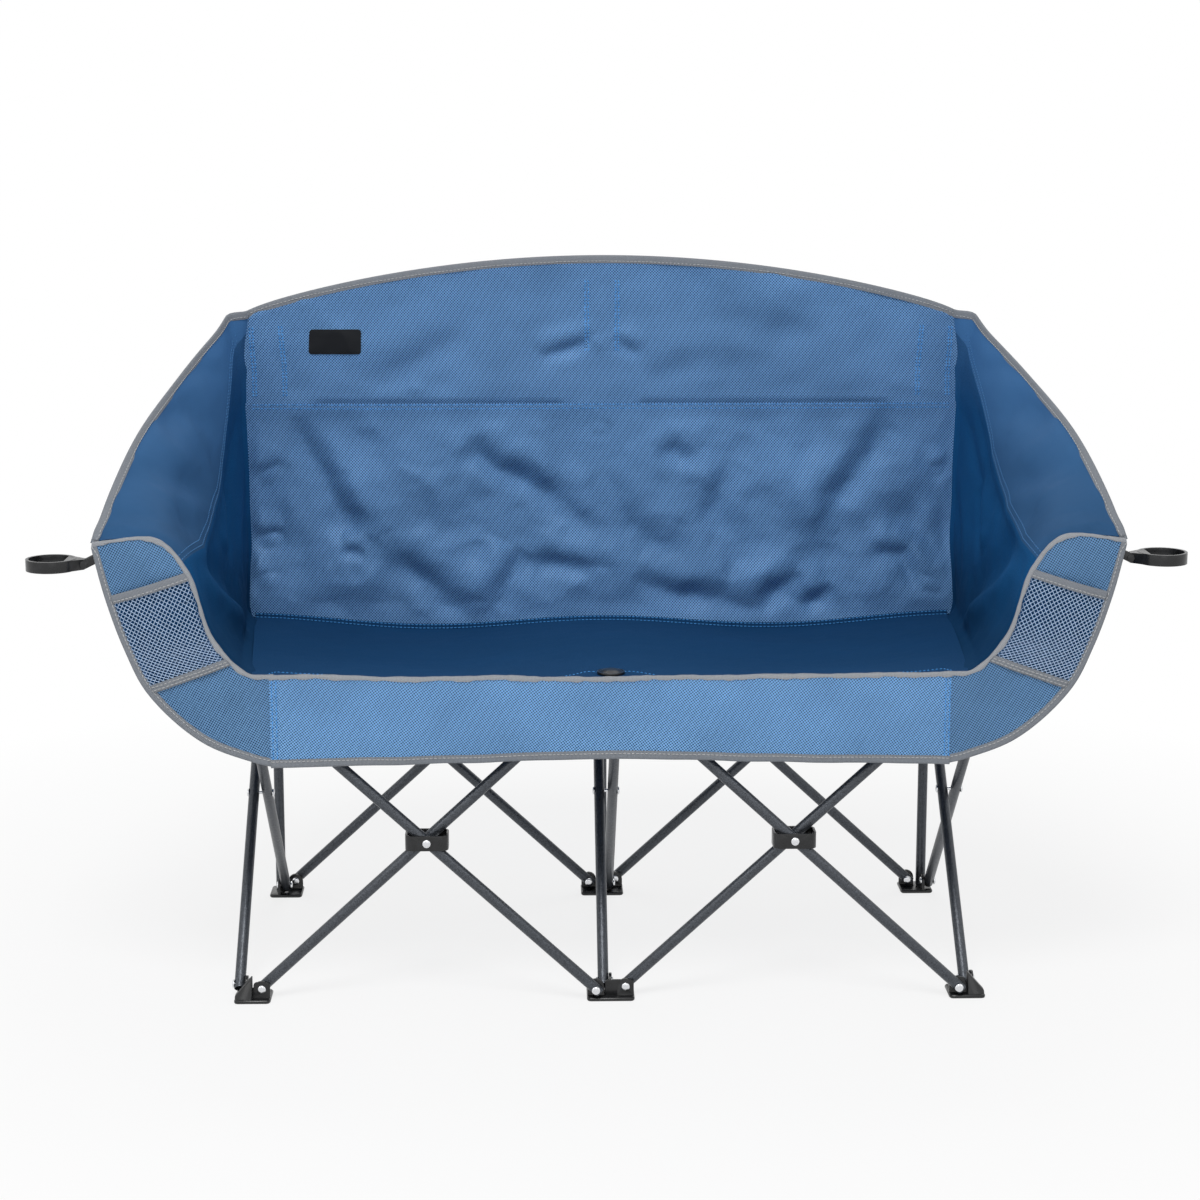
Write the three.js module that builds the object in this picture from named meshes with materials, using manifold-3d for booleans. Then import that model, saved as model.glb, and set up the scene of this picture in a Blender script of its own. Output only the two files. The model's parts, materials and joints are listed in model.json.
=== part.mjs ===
// Folding camping loveseat: two bays of crossed tubes, a fabric bucket seat and two cup rings.
// Millimetres. X runs to the right as seen from the front, Y away from the viewer, Z up from the ground.

import * as THREE from 'three';
import { mergeVertices } from 'three/addons/utils/BufferGeometryUtils.js';
import Module from 'manifold-3d';

const wasm = await Module();
wasm.setup();

// Frame tubes
const TUBE_RADIUS = 8;
const TUBE_WALL = 1;
const TUBE_SIDES = 12;
const TUBE_TAIL = 8; // tube left beyond its end rivet

// Crossed pairs: the seven pairs are alike, so the frame closes evenly in width and depth
const BAY_WIDTH = 484; // between the two end rivets of a pair, across the floor
const PAIR_RISE = 445; // from the foot rivets up to the top rivets
const FOOT_RIVET_Z = 18;
const CENTRE_RIVETS = 43.2; // between the two rivets side by side on a centre foot
const CORNER_SETBACK = 24; // from an end rivet to the corner where two planes meet
const ARM_REACH = 943; // from the foot rivet of a long tube to its arm end

// Brackets and feet
const EAR_THICK = 4;
const EAR_RADIUS = 12;
const SLAB_THICK = 5.5;
const SLAB_MARGIN = 15.5; // slab beyond the corner lines
const SLAB_BEVEL = 1.5;
const PEG_HEIGHT = 38;
const SLEEVE_WALL = 3.5;
const SLEEVE_HEIGHT = 24;
const OPEN_EAR_TOP = 7; // ear above the rivet where a long tube passes over
const EAR_MARGIN = 1; // slab beyond an ear

// Rivets
const RIVET_RADIUS = 2.5;
const HEAD_RADIUS = 5.5;
const HEAD_THICK = 2;
const RIVET_SIDES = 8;
const HOLE_SIDES = 6;

// Clearances
const FIT = 0.3;
const SLIDE_FIT = 0.5;
const CLOTH_GAP = 0.8;
const SUNK = 0.5; // how far a part of one moulding runs into the next
const OVERCUT = 2; // how far a cut runs past the face it leaves by

// Hub collars round the crossings
const HUB_WIDTH = 62;
const HUB_HEIGHT = 22;
const HUB_WALL = 3;
const HUB_CORNER = 11;

// Back posts and their pockets
const POST_COVER = 24; // cloth above a post's end
const POCKET_LENGTH = 125;
const POCKET_WALL = 2.2;

// Arm end fittings and cup rings
const SOCKET_RADIUS = 10.5;
const SOCKET_LENGTH = 42;
const SOCKET_END = 3;
const HINGE_OUT = 20; // hinge pin outward of the tube end
const HINGE_DROP = 10; // hinge pin below the tube end
const HINGE_RADIUS = 6;
const HINGE_EAR = 3;
const BARREL_HALF = 5.6;
const HINGE_HEAD = 1.5;
const HINGE_ROOM = 1; // round the knuckle, so that it can turn
const CUP_RADIUS = 31;
const CUP_WALL = 4;
const CUP_HEIGHT = 16;
const CUP_REACH = 47; // from the hinge pin to the ring's centre
const CUP_NECK = 14; // straight neck beyond the hinge pin

// Fabric
const CLOTH = 2.4;
const NET = 0.9;
const SEAT_SAG = 22;
const SEAT_SIDE_RISE = 6;
const SEAT_REAR_RISE = 0.5; // rear edge above the rivets of the sliders
const SEAT_REAR_SPREAD = 29.4; // seat beyond the outer posts
const SEAT_FRONT_SPREAD = 2.4; // seat beyond the outer front rivets
const BACK_BOTTOM_SPREAD = 28.4; // back beyond the outer posts, at the seat
const BACK_TOP_SPREAD = 52.4; // back beyond the outer posts, at the top corners
const BACK_SPLIT_Z = 811;
const BACK_TOP_Z = 1043;
const BACK_TOP_DROP = 86; // how far the top edge falls from the middle to the corners
const BACK_BOW = 12;
const BACK_LEAN_TOP = 620; // height at which the back lies against its posts
const BAND_SEAM_INSET = 23.6; // upright seam inward of the outer front rivets
const BAND_DROP = 117; // front band below the seat edge, at the middle
const BAND_FALL = 11; // how far its lower edge falls from the middle to the seams
const BAND_BULGE = 9;
const BAND_FOLD = 2.5;
const BUTTON_RADIUS = 20;
const BUTTON_HEIGHT = 7;

// Values that follow from those above
const LAYER = EAR_THICK / 2 + FIT + TUBE_RADIUS;
const INNER_X = CENTRE_RIVETS / 2;
const OUTER_X = INNER_X + BAY_WIDTH;
const SIDE_X = OUTER_X + CORNER_SETBACK;
const SEAT_REAR_HALF = SIDE_X + SEAT_REAR_SPREAD;
const SEAT_FRONT_HALF = OUTER_X + SEAT_FRONT_SPREAD;
const BACK_BOTTOM_HALF = SIDE_X + BACK_BOTTOM_SPREAD;
const BACK_TOP_HALF = SIDE_X + BACK_TOP_SPREAD;
const BAND_SEAM_X = OUTER_X - BAND_SEAM_INSET;
const SIDE_Y = BAY_WIDTH / 2;
const PLANE_Y = SIDE_Y + CORNER_SETBACK;
const TOP_RIVET_Z = FOOT_RIVET_Z + PAIR_RISE;
const CROSS_Z = FOOT_RIVET_Z + PAIR_RISE / 2;
const SLAB_TOP_Z = TOP_RIVET_Z + FOOT_RIVET_Z;
const PAIR_LENGTH = Math.hypot(BAY_WIDTH, PAIR_RISE);
const RIVET_HOLE = (RIVET_RADIUS + FIT) / Math.cos(Math.PI / HOLE_SIDES);
const TUBE_FACE = LAYER + TUBE_RADIUS + FIT; // from the ear's middle to beyond the tube
const FRONT_CLOTH_Y = -(PLANE_Y + TUBE_FACE + HEAD_THICK + CLOTH_GAP); // back face of the front bands
const SLIDER_FRONT_Y = SIDE_Y - EAR_RADIUS - EAR_MARGIN;
const BACK_FOOT_Y = SLIDER_FRONT_Y - CLOTH_GAP - CLOTH / 2;
const BACK_POST_Y = PLANE_Y - TUBE_RADIUS - FIT - CLOTH / 2;
const SEAT_REAR_Y = BACK_FOOT_Y - CLOTH / 2 - CLOTH_GAP;
const SEAT_FRONT_Y = FRONT_CLOTH_Y + CLOTH_GAP;
const SEAT_FRONT_Z = SLAB_TOP_Z + FIT + CLOTH / 2;
const SEAT_REAR_Z = TOP_RIVET_Z + SEAT_REAR_RISE;

const X = new THREE.Vector3(1, 0, 0);
const Y = new THREE.Vector3(0, 1, 0);
const Z = new THREE.Vector3(0, 0, 1);

const FINISHES = {
  tube: { color: 0x3a3d42, roughness: 0.45, metalness: 0.6 },
  plastic: { color: 0x17181a, roughness: 0.5, metalness: 0 },
  zinc: { color: 0xa9acb0, roughness: 0.35, metalness: 0.9 },
  navy: { color: 0x25406b, roughness: 0.9, metalness: 0 },
  blue: { color: 0x3c6fae, roughness: 0.9, metalness: 0 },
  band: { color: 0x4d86c6, roughness: 0.9, metalness: 0 },
  net: { color: 0x2c5c94, roughness: 0.85, metalness: 0 },
};

const model = new THREE.Group();

function addPiece(name, geometry, finish) {
  const material = new THREE.MeshStandardMaterial(FINISHES[finish]);
  const mesh = new THREE.Mesh(geometry, material);
  mesh.name = name;
  model.add(mesh);
  return mesh;
}

// Joins and cuts

function solid(geometry) {
  const bare = new THREE.BufferGeometry();
  bare.setAttribute('position', geometry.getAttribute('position').clone());
  if (geometry.index) bare.setIndex(geometry.index.clone());
  const merged = mergeVertices(bare, 1e-4);
  return new wasm.Manifold(new wasm.Mesh({
    numProp: 3,
    vertProperties: Float32Array.from(merged.getAttribute('position').array),
    triVerts: Uint32Array.from(merged.index.array),
  }));
}

function shell(manifold) {
  const mesh = manifold.getMesh();
  const geometry = new THREE.BufferGeometry();
  geometry.setAttribute('position', new THREE.BufferAttribute(Float32Array.from(mesh.vertProperties), 3));
  geometry.setIndex(new THREE.BufferAttribute(Uint32Array.from(mesh.triVerts), 1));
  geometry.computeVertexNormals();
  return geometry;
}

function joined(geometries) {
  return geometries.map(solid).reduce((whole, next) => whole.add(next));
}

function cut(whole, geometries) {
  return geometries.map(solid).reduce((rest, tool) => rest.subtract(tool), whole);
}

// Basic shapes

function at(x, y, z) {
  return new THREE.Vector3(x, y, z);
}

function rod(radius, start, end, sides) {
  const along = end.clone().sub(start);
  const geometry = new THREE.CylinderGeometry(radius, radius, along.length(), sides);
  const turn = new THREE.Quaternion().setFromUnitVectors(Y, along.normalize());
  const middle = start.clone().add(end).multiplyScalar(0.5);
  return geometry.applyQuaternion(turn).translate(middle.x, middle.y, middle.z);
}

function block(low, high) {
  const size = high.clone().sub(low);
  const middle = low.clone().add(high).multiplyScalar(0.5);
  return new THREE.BoxGeometry(size.x, size.y, size.z).translate(middle.x, middle.y, middle.z);
}

// An extruded outline, its own X and Y laid along u and v, centred on its thickness at the origin point
function plate(outline, thick, origin, u, v, segments = 8) {
  const settings = { depth: thick, bevelEnabled: false, curveSegments: segments };
  const geometry = new THREE.ExtrudeGeometry(outline, settings).translate(0, 0, -thick / 2);
  const frame = new THREE.Matrix4().makeBasis(u, v, u.clone().cross(v));
  return geometry.applyMatrix4(frame.setPosition(origin));
}

function roundedBox(width, depth, corner) {
  const outline = new THREE.Shape();
  const [w, d, c] = [width / 2, depth / 2, corner];
  outline.moveTo(-w + c, -d);
  outline.lineTo(w - c, -d);
  outline.absarc(w - c, -d + c, c, -Math.PI / 2, 0);
  outline.absarc(w - c, d - c, c, 0, Math.PI / 2);
  outline.absarc(-w + c, d - c, c, Math.PI / 2, Math.PI);
  outline.absarc(-w + c, -d + c, c, Math.PI, Math.PI * 1.5);
  return outline;
}

// A closed sheet of cloth round the surface pointAt(u, v), with u and v from 0 to 1
function sheet(pointAt, columns, rows, thick = CLOTH) {
  const grid = (u, v) => pointAt(THREE.MathUtils.clamp(u, 0, 1), THREE.MathUtils.clamp(v, 0, 1));
  const skins = [[], []];
  for (let j = 0; j <= rows; j += 1) {
    for (let i = 0; i <= columns; i += 1) {
      const [u, v] = [i / columns, j / rows];
      const across = grid(u + 0.01, v).sub(grid(u - 0.01, v));
      const along = grid(u, v + 0.01).sub(grid(u, v - 0.01));
      const normal = across.cross(along).normalize();
      skins[0].push(grid(u, v).addScaledVector(normal, thick / 2));
      skins[1].push(grid(u, v).addScaledVector(normal, -thick / 2));
    }
  }
  const count = skins[0].length;
  const faces = [];
  const quad = (a, b, c, d) => faces.push(a, b, c, a, c, d);
  const corner = (i, j) => j * (columns + 1) + i;
  for (let j = 0; j < rows; j += 1) {
    for (let i = 0; i < columns; i += 1) {
      const [a, b, c, d] = [corner(i, j), corner(i + 1, j), corner(i + 1, j + 1), corner(i, j + 1)];
      quad(a, b, c, d);
      quad(c + count, b + count, a + count, d + count); // the same diagonal as in the other skin
    }
  }
  const rim = [];
  for (let i = 0; i < columns; i += 1) rim.push(corner(i, 0));
  for (let j = 0; j < rows; j += 1) rim.push(corner(columns, j));
  for (let i = columns; i > 0; i -= 1) rim.push(corner(i, rows));
  for (let j = rows; j > 0; j -= 1) rim.push(corner(0, j));
  rim.forEach((a, k) => {
    const b = rim[(k + 1) % rim.length];
    quad(b, a, a + count, b + count);
  });
  const geometry = new THREE.BufferGeometry().setFromPoints([...skins[0], ...skins[1]]);
  geometry.setIndex(faces);
  geometry.computeVertexNormals();
  return geometry;
}

// Tubes: hollow, along their own Y from the lower end, with rivet holes across them

function tubeGeometry(length, holes) {
  const inner = TUBE_RADIUS - TUBE_WALL;
  const profile = [[inner, 0], [TUBE_RADIUS, 0], [TUBE_RADIUS, length], [inner, length], [inner, 0]];
  const wall = new THREE.LatheGeometry(profile.map(([r, h]) => new THREE.Vector2(r, h)), TUBE_SIDES);
  const drills = holes.map((h) => {
    const reach = TUBE_RADIUS + OVERCUT;
    return rod(RIVET_HOLE, at(0, h, -reach), at(0, h, reach), HOLE_SIDES);
  });
  return shell(cut(solid(wall), drills));
}

function addTube(name, foot, top, rivetAxis, length) {
  const along = top.clone().sub(foot).normalize();
  const holes = [TUBE_TAIL, TUBE_TAIL + PAIR_LENGTH / 2, TUBE_TAIL + PAIR_LENGTH];
  const mesh = addPiece(name, tubeGeometry(length, holes), 'tube');
  const frame = new THREE.Matrix4().makeBasis(along.clone().cross(rivetAxis), along, rivetAxis);
  mesh.quaternion.setFromRotationMatrix(frame);
  mesh.position.copy(foot.clone().addScaledVector(along, -TUBE_TAIL));
  return mesh;
}

const PLANES = [{ name: 'front', y: -1 }, { name: 'rear', y: 1 }];
const BAYS = [{ name: 'left', x: -1 }, { name: 'right', x: 1 }];
const SIDES = [{ name: 'left', x: -1 }, { name: 'middle', x: 0 }, { name: 'right', x: 1 }];
const SHORT_LENGTH = PAIR_LENGTH + 2 * TUBE_TAIL;
const LONG_LENGTH = ARM_REACH + TUBE_TAIL;

// A tube that rises to the right runs behind its neighbour, and one that rises to the left in front
for (const plane of PLANES) {
  for (const bay of BAYS) {
    const y = plane.y * PLANE_Y;
    const name = `${plane.name}_${bay.name}`;
    const outwardY = y + bay.x * LAYER;
    const inwardY = y - bay.x * LAYER;
    const outwardLength = plane.y < 0 ? LONG_LENGTH : SHORT_LENGTH;
    const centreFoot = at(bay.x * INNER_X, outwardY, FOOT_RIVET_Z);
    const outerTop = at(bay.x * OUTER_X, outwardY, TOP_RIVET_Z);
    addTube(`${name}_outward_tube`, centreFoot, outerTop, Y, outwardLength);
    const outerFoot = at(bay.x * OUTER_X, inwardY, FOOT_RIVET_Z);
    const centreTop = at(bay.x * INNER_X, inwardY, TOP_RIVET_Z);
    addTube(`${name}_inward_tube`, outerFoot, centreTop, Y, SHORT_LENGTH);
  }
}

for (const side of SIDES) {
  const rearwardX = side.x * SIDE_X - LAYER;
  const forwardX = side.x * SIDE_X + LAYER;
  const rearwardFoot = at(rearwardX, -SIDE_Y, FOOT_RIVET_Z);
  const rearwardTop = at(rearwardX, SIDE_Y, TOP_RIVET_Z);
  addTube(`${side.name}_side_rearward_tube`, rearwardFoot, rearwardTop, X, SHORT_LENGTH);
  const forwardFoot = at(forwardX, SIDE_Y, FOOT_RIVET_Z);
  const forwardTop = at(forwardX, -SIDE_Y, TOP_RIVET_Z);
  addTube(`${side.name}_side_forward_tube`, forwardFoot, forwardTop, X, SHORT_LENGTH);
}

// Back posts stand over pegs on the rear feet and end under the back's top edge
const PEG_RADIUS = (TUBE_RADIUS - TUBE_WALL) * Math.cos(Math.PI / TUBE_SIDES) - FIT;
const POST_FOOT_Z = SLAB_THICK + FIT;

function backTop(across) {
  return BACK_TOP_Z - BACK_TOP_DROP * across ** 2;
}

for (const side of SIDES) {
  const top = backTop((side.x * SIDE_X) / BACK_TOP_HALF) - POST_COVER;
  const post = addPiece(`${side.name}_back_post`, tubeGeometry(top - POST_FOOT_Z, []), 'tube');
  post.rotation.x = Math.PI / 2;
  post.position.set(side.x * SIDE_X, PLANE_Y, POST_FOOT_Z);

  const pocketRadius = TUBE_RADIUS + FIT + POCKET_WALL;
  const bottom = at(side.x * SIDE_X, PLANE_Y, top - POCKET_LENGTH);
  const tip = at(side.x * SIDE_X, PLANE_Y, top + FIT + POCKET_WALL);
  const hollow = rod(TUBE_RADIUS + FIT, bottom.clone().setZ(0), tip.clone().setZ(top + FIT), TUBE_SIDES);
  const clothFace = BACK_POST_Y + CLOTH / 2 + FIT;
  const front = block(at(-SIDE_X * 2, 0, 0), at(SIDE_X * 2, clothFace, BACK_TOP_Z));
  const sleeve = cut(joined([rod(pocketRadius, bottom, tip, TUBE_SIDES)]), [hollow, front]);
  addPiece(`${side.name}_post_pocket`, shell(sleeve), 'blue');
}

// Feet, top brackets and sliders. Each has an ear and a rivet for every tube end that it carries.

function earOutline(base, rivet) {
  const outline = new THREE.Shape();
  outline.moveTo(-EAR_RADIUS, base);
  outline.lineTo(EAR_RADIUS, base);
  outline.lineTo(EAR_RADIUS, rivet);
  outline.absarc(0, rivet, EAR_RADIUS, 0, Math.PI);
  outline.lineTo(-EAR_RADIUS, base);
  return outline;
}

function rivetThrough(point, axis, towards) {
  const spot = (distance) => point.clone().addScaledVector(axis, towards * distance);
  const back = -EAR_THICK / 2;
  return [
    rod(RIVET_RADIUS, spot(back - SUNK), spot(TUBE_FACE + SUNK), RIVET_SIDES),
    rod(HEAD_RADIUS, spot(back - HEAD_THICK), spot(back + SUNK), RIVET_SIDES),
    rod(HEAD_RADIUS, spot(TUBE_FACE), spot(TUBE_FACE + HEAD_THICK), RIVET_SIDES),
  ];
}

function slabGeometry(xLow, xHigh, yLow, yHigh, z) {
  const inset = 2 * SLAB_BEVEL;
  const outline = roundedBox(xHigh - xLow - inset, yHigh - yLow - inset, 4);
  const settings = {
    depth: SLAB_THICK - 2 * SLAB_BEVEL,
    bevelSize: SLAB_BEVEL,
    bevelThickness: SLAB_BEVEL,
    bevelSegments: 1,
    curveSegments: 1,
  };
  const geometry = new THREE.ExtrudeGeometry(outline, settings);
  return geometry.translate((xLow + xHigh) / 2, (yLow + yHigh) / 2, z + SLAB_BEVEL);
}

// The tube ends that meet at one corner: rivet place, its axis, and the side of the ear the tube is on
function cornerRivets(side, plane, level) {
  const towards = level === 'foot' ? 1 : -1;
  const z = level === 'foot' ? FOOT_RIVET_Z : TOP_RIVET_Z;
  const planeY = plane.y * PLANE_Y;
  const rivets = [];
  if (side.x === 0) {
    for (const bay of BAYS) {
      rivets.push({ point: at(bay.x * INNER_X, planeY, z), axis: Y, towards: towards * bay.x });
    }
  } else {
    rivets.push({ point: at(side.x * OUTER_X, planeY, z), axis: Y, towards: -towards * side.x });
  }
  const sidePoint = at(side.x * SIDE_X, plane.y * SIDE_Y, z);
  rivets.push({ point: sidePoint, axis: X, towards: towards * plane.y });
  return rivets;
}

function slabBounds(side, plane) {
  const inner = SLIDER_FRONT_Y;
  const outer = PLANE_Y + SLAB_MARGIN;
  const [yLow, yHigh] = plane.y < 0 ? [-outer, -inner] : [inner, outer];
  if (side.x === 0) {
    const half = INNER_X + EAR_RADIUS + EAR_MARGIN;
    return [-half, half, yLow, yHigh];
  }
  const [near, far] = [OUTER_X - EAR_RADIUS - EAR_MARGIN, SIDE_X + SLAB_MARGIN];
  return side.x < 0 ? [-far, -near, yLow, yHigh] : [near, far, yLow, yHigh];
}

function earPlate(rivet, level) {
  const u = rivet.axis === Y ? X : Y;
  const v = level === 'foot' ? Z : Z.clone().negate();
  const inSlab = SLAB_THICK / 2;
  const origin = rivet.point.clone().setZ(level === 'foot' ? 0 : SLAB_TOP_Z);
  return plate(earOutline(inSlab, FOOT_RIVET_Z), EAR_THICK, origin, u, v, 4);
}

// The front corners have no slab, because the long tubes pass there: two straight ears meet in an angle
function openCorner(side, rivets) {
  const low = TOP_RIVET_Z - EAR_RADIUS;
  const high = TOP_RIVET_Z + OPEN_EAR_TOP;
  const half = EAR_THICK / 2;
  const xs = [side.x * (OUTER_X - EAR_RADIUS), side.x * (SIDE_X + half)].sort((a, b) => a - b);
  const across = block(at(xs[0], -PLANE_Y - half, low), at(xs[1], -PLANE_Y + half, high));
  const x = side.x * SIDE_X;
  const along = block(at(x - half, -PLANE_Y - half, low), at(x + half, -SIDE_Y + EAR_RADIUS, high));
  return joined([across, along, ...rivets.flatMap((r) => rivetThrough(r.point, r.axis, r.towards))]);
}

function slabCorner(side, plane, level, rivets) {
  const z = level === 'foot' ? 0 : SLAB_TOP_Z - SLAB_THICK;
  const pieces = [slabGeometry(...slabBounds(side, plane), z)];
  for (const rivet of rivets) {
    pieces.push(earPlate(rivet, level), ...rivetThrough(rivet.point, rivet.axis, rivet.towards));
  }
  const post = at(side.x * SIDE_X, PLANE_Y, 0);
  if (plane.y > 0 && level === 'foot') {
    const top = post.clone().setZ(SLAB_THICK + PEG_HEIGHT);
    pieces.push(rod(PEG_RADIUS, post.clone().setZ(SLAB_THICK / 2), top, TUBE_SIDES));
  }
  if (plane.y < 0 && level === 'foot' && side.x !== 0) {
    const wedge = new THREE.Shape();
    wedge.moveTo(side.x * OUTER_X, SLAB_THICK / 2);
    wedge.lineTo(side.x * (SIDE_X + SLAB_MARGIN - 2 * SLAB_BEVEL), SLAB_THICK / 2);
    wedge.lineTo(side.x * OUTER_X, FOOT_RIVET_Z + EAR_RADIUS - EAR_MARGIN);
    pieces.push(plate(wedge, EAR_THICK, at(0, plane.y * PLANE_Y, 0), X, Z));
  }
  if (plane.y > 0 && level === 'top') {
    const radius = TUBE_RADIUS + SLIDE_FIT;
    const sleeveTop = post.clone().setZ(z + SLEEVE_HEIGHT);
    const sleeve = rod(radius + SLEEVE_WALL, post.clone().setZ(z + SLAB_THICK / 2), sleeveTop, 16);
    const boreTop = post.clone().setZ(z + SLEEVE_HEIGHT + OVERCUT);
    const bore = rod(radius, post.clone().setZ(z - OVERCUT), boreTop, 16);
    return cut(joined([...pieces, sleeve]), [bore]);
  }
  return joined(pieces);
}

for (const plane of PLANES) {
  for (const side of SIDES) {
    const place = side.x === 0 ? `${plane.name}_centre` : `${plane.name}_${side.name}`;
    for (const level of ['foot', 'top']) {
      const rivets = cornerRivets(side, plane, level);
      const open = level === 'top' && plane.y < 0 && side.x !== 0;
      const made = open ? openCorner(side, rivets) : slabCorner(side, plane, level, rivets);
      const kind = level === 'foot' ? 'foot' : plane.y < 0 ? 'top_bracket' : 'slider';
      addPiece(`${place}_${kind}`, shell(made), 'plastic');
    }
  }
}

// Hub collars and the rivets at the crossings
const HUB_HALF_DEPTH = TUBE_FACE + HUB_WALL;

function rivetGeometry(half, axis) {
  const end = (distance) => axis.clone().multiplyScalar(distance);
  const ends = [-1, 1].map((s) => rod(HEAD_RADIUS, end(s * half), end(s * (half + HEAD_THICK)), RIVET_SIDES));
  return shell(joined([rod(RIVET_RADIUS, end(-half - SUNK), end(half + SUNK), RIVET_SIDES), ...ends]));
}

for (const plane of PLANES) {
  for (const bay of BAYS) {
    const outline = roundedBox(HUB_WIDTH, 2 * HUB_HALF_DEPTH, HUB_CORNER);
    const hole = roundedBox(HUB_WIDTH - 2 * HUB_WALL, 2 * TUBE_FACE, HUB_CORNER - HUB_WALL);
    outline.holes.push(hole);
    const ring = plate(outline, HUB_HEIGHT, at(0, 0, 0), X, Y, 3);
    const reach = HUB_HALF_DEPTH + OVERCUT;
    const drill = rod(RIVET_HOLE, at(0, -reach, 0), at(0, reach, 0), HOLE_SIDES);
    const hub = addPiece(`${plane.name}_${bay.name}_hub`, shell(cut(joined([ring]), [drill])), 'plastic');
    hub.position.set((bay.x * (INNER_X + OUTER_X)) / 2, plane.y * PLANE_Y, CROSS_Z);
    const rivetSolid = rivetGeometry(HUB_HALF_DEPTH + FIT, Y);
    const rivet = addPiece(`${plane.name}_${bay.name}_hub_rivet`, rivetSolid, 'zinc');
    rivet.position.copy(hub.position);
  }
}

for (const side of SIDES) {
  const rivet = addPiece(`${side.name}_side_rivet`, rivetGeometry(TUBE_FACE, X), 'zinc');
  rivet.position.set(side.x * SIDE_X, 0, CROSS_Z);
}

// Arm end fittings on the long tubes, with the hinged cup rings

for (const bay of BAYS) {
  const y = -PLANE_Y + bay.x * LAYER;
  const along = at(bay.x * BAY_WIDTH, 0, PAIR_RISE).normalize();
  const foot = at(bay.x * INNER_X, y, FOOT_RIVET_Z);
  const onTube = (distance) => foot.clone().addScaledVector(along, distance);
  const armEnd = onTube(ARM_REACH);
  const hinge = armEnd.clone().add(at(bay.x * HINGE_OUT, 0, -HINGE_DROP));
  const socket = rod(SOCKET_RADIUS, onTube(ARM_REACH - SOCKET_LENGTH), onTube(ARM_REACH + SOCKET_END), 16);
  const boreFoot = onTube(ARM_REACH - SOCKET_LENGTH - OVERCUT);
  const bore = rod(TUBE_RADIUS + FIT, boreFoot, onTube(ARM_REACH + FIT), 16);
  const earMiddle = BARREL_HALF + FIT + HINGE_EAR / 2;
  const earReach = Math.hypot(HINGE_OUT, HINGE_DROP);
  const lug = new THREE.Shape();
  lug.absarc(0, 0, HINGE_RADIUS, Math.PI / 2, -Math.PI / 2, true);
  lug.lineTo(-earReach - SOCKET_RADIUS / 2, -HINGE_RADIUS);
  lug.lineTo(-earReach - SOCKET_RADIUS / 2, HINGE_RADIUS);
  const outward = hinge.clone().sub(armEnd).normalize();
  const up = outward.clone().cross(Y).multiplyScalar(bay.x);
  const pinHalf = BARREL_HALF + FIT + HINGE_EAR;
  const pinEnd = (distance) => hinge.clone().addScaledVector(Y, distance);
  const pieces = [socket];
  for (const s of [-1, 1]) {
    pieces.push(plate(lug, HINGE_EAR, pinEnd(s * earMiddle), outward, up, 6));
    const headEnd = pinEnd(s * (pinHalf + HINGE_HEAD));
    pieces.push(rod(HEAD_RADIUS, pinEnd(s * (pinHalf - SUNK)), headEnd, RIVET_SIDES));
  }
  pieces.push(rod(RIVET_RADIUS, pinEnd(-pinHalf), pinEnd(pinHalf), RIVET_SIDES));
  const slotReach = HINGE_RADIUS + HINGE_ROOM;
  const slotEnds = [hinge.x - bay.x * slotReach, hinge.x + bay.x * slotReach].sort((a, b) => a - b);
  const slotHalf = BARREL_HALF + FIT;
  const slot = block(
    at(slotEnds[0], y - slotHalf, hinge.z - slotReach),
    at(slotEnds[1], y + slotHalf, hinge.z + slotReach),
  );
  const body = cut(joined(pieces.slice(0, -1)), [bore, slot]).add(solid(pieces.at(-1)));
  addPiece(`${bay.name}_arm_fitting`, shell(body), 'plastic');

  const ringX = bay.x * CUP_REACH;
  const outerRadius = CUP_RADIUS + CUP_WALL;
  const taper = new THREE.Shape();
  const neck = BARREL_HALF;
  taper.moveTo(0, -neck);
  taper.lineTo(bay.x * CUP_NECK, -neck);
  taper.lineTo(ringX, -outerRadius);
  taper.lineTo(ringX, outerRadius);
  taper.lineTo(bay.x * CUP_NECK, neck);
  taper.lineTo(0, neck);
  const disc = new THREE.Shape();
  disc.absarc(ringX, 0, outerRadius, 0, Math.PI * 2);
  const flat = at(0, 0, 0);
  const outside = joined([plate(taper, CUP_HEIGHT, flat, X, Y), plate(disc, CUP_HEIGHT, flat, X, Y, 24)]);
  const knuckle = rod(HINGE_RADIUS, at(0, -neck, 0), at(0, neck, 0), 12);
  const clearLow = at(Math.min(0, -bay.x * outerRadius), -outerRadius, -CUP_HEIGHT);
  const clearHigh = at(Math.max(0, -bay.x * outerRadius), outerRadius, CUP_HEIGHT);
  const trimmed = cut(outside, [block(clearLow, clearHigh)]).add(solid(knuckle));
  const cup = rod(CUP_RADIUS, at(ringX, 0, -CUP_HEIGHT), at(ringX, 0, CUP_HEIGHT), 24);
  const pinHole = rod(RIVET_HOLE, at(0, -outerRadius, 0), at(0, outerRadius, 0), 10);
  const holder = addPiece(`${bay.name}_cup_holder`, shell(cut(trimmed, [cup, pinHole])), 'plastic');
  holder.position.copy(hinge);
}

// Seat: a shallow hollow in each bay, in a rear and a front half that fold together

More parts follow.
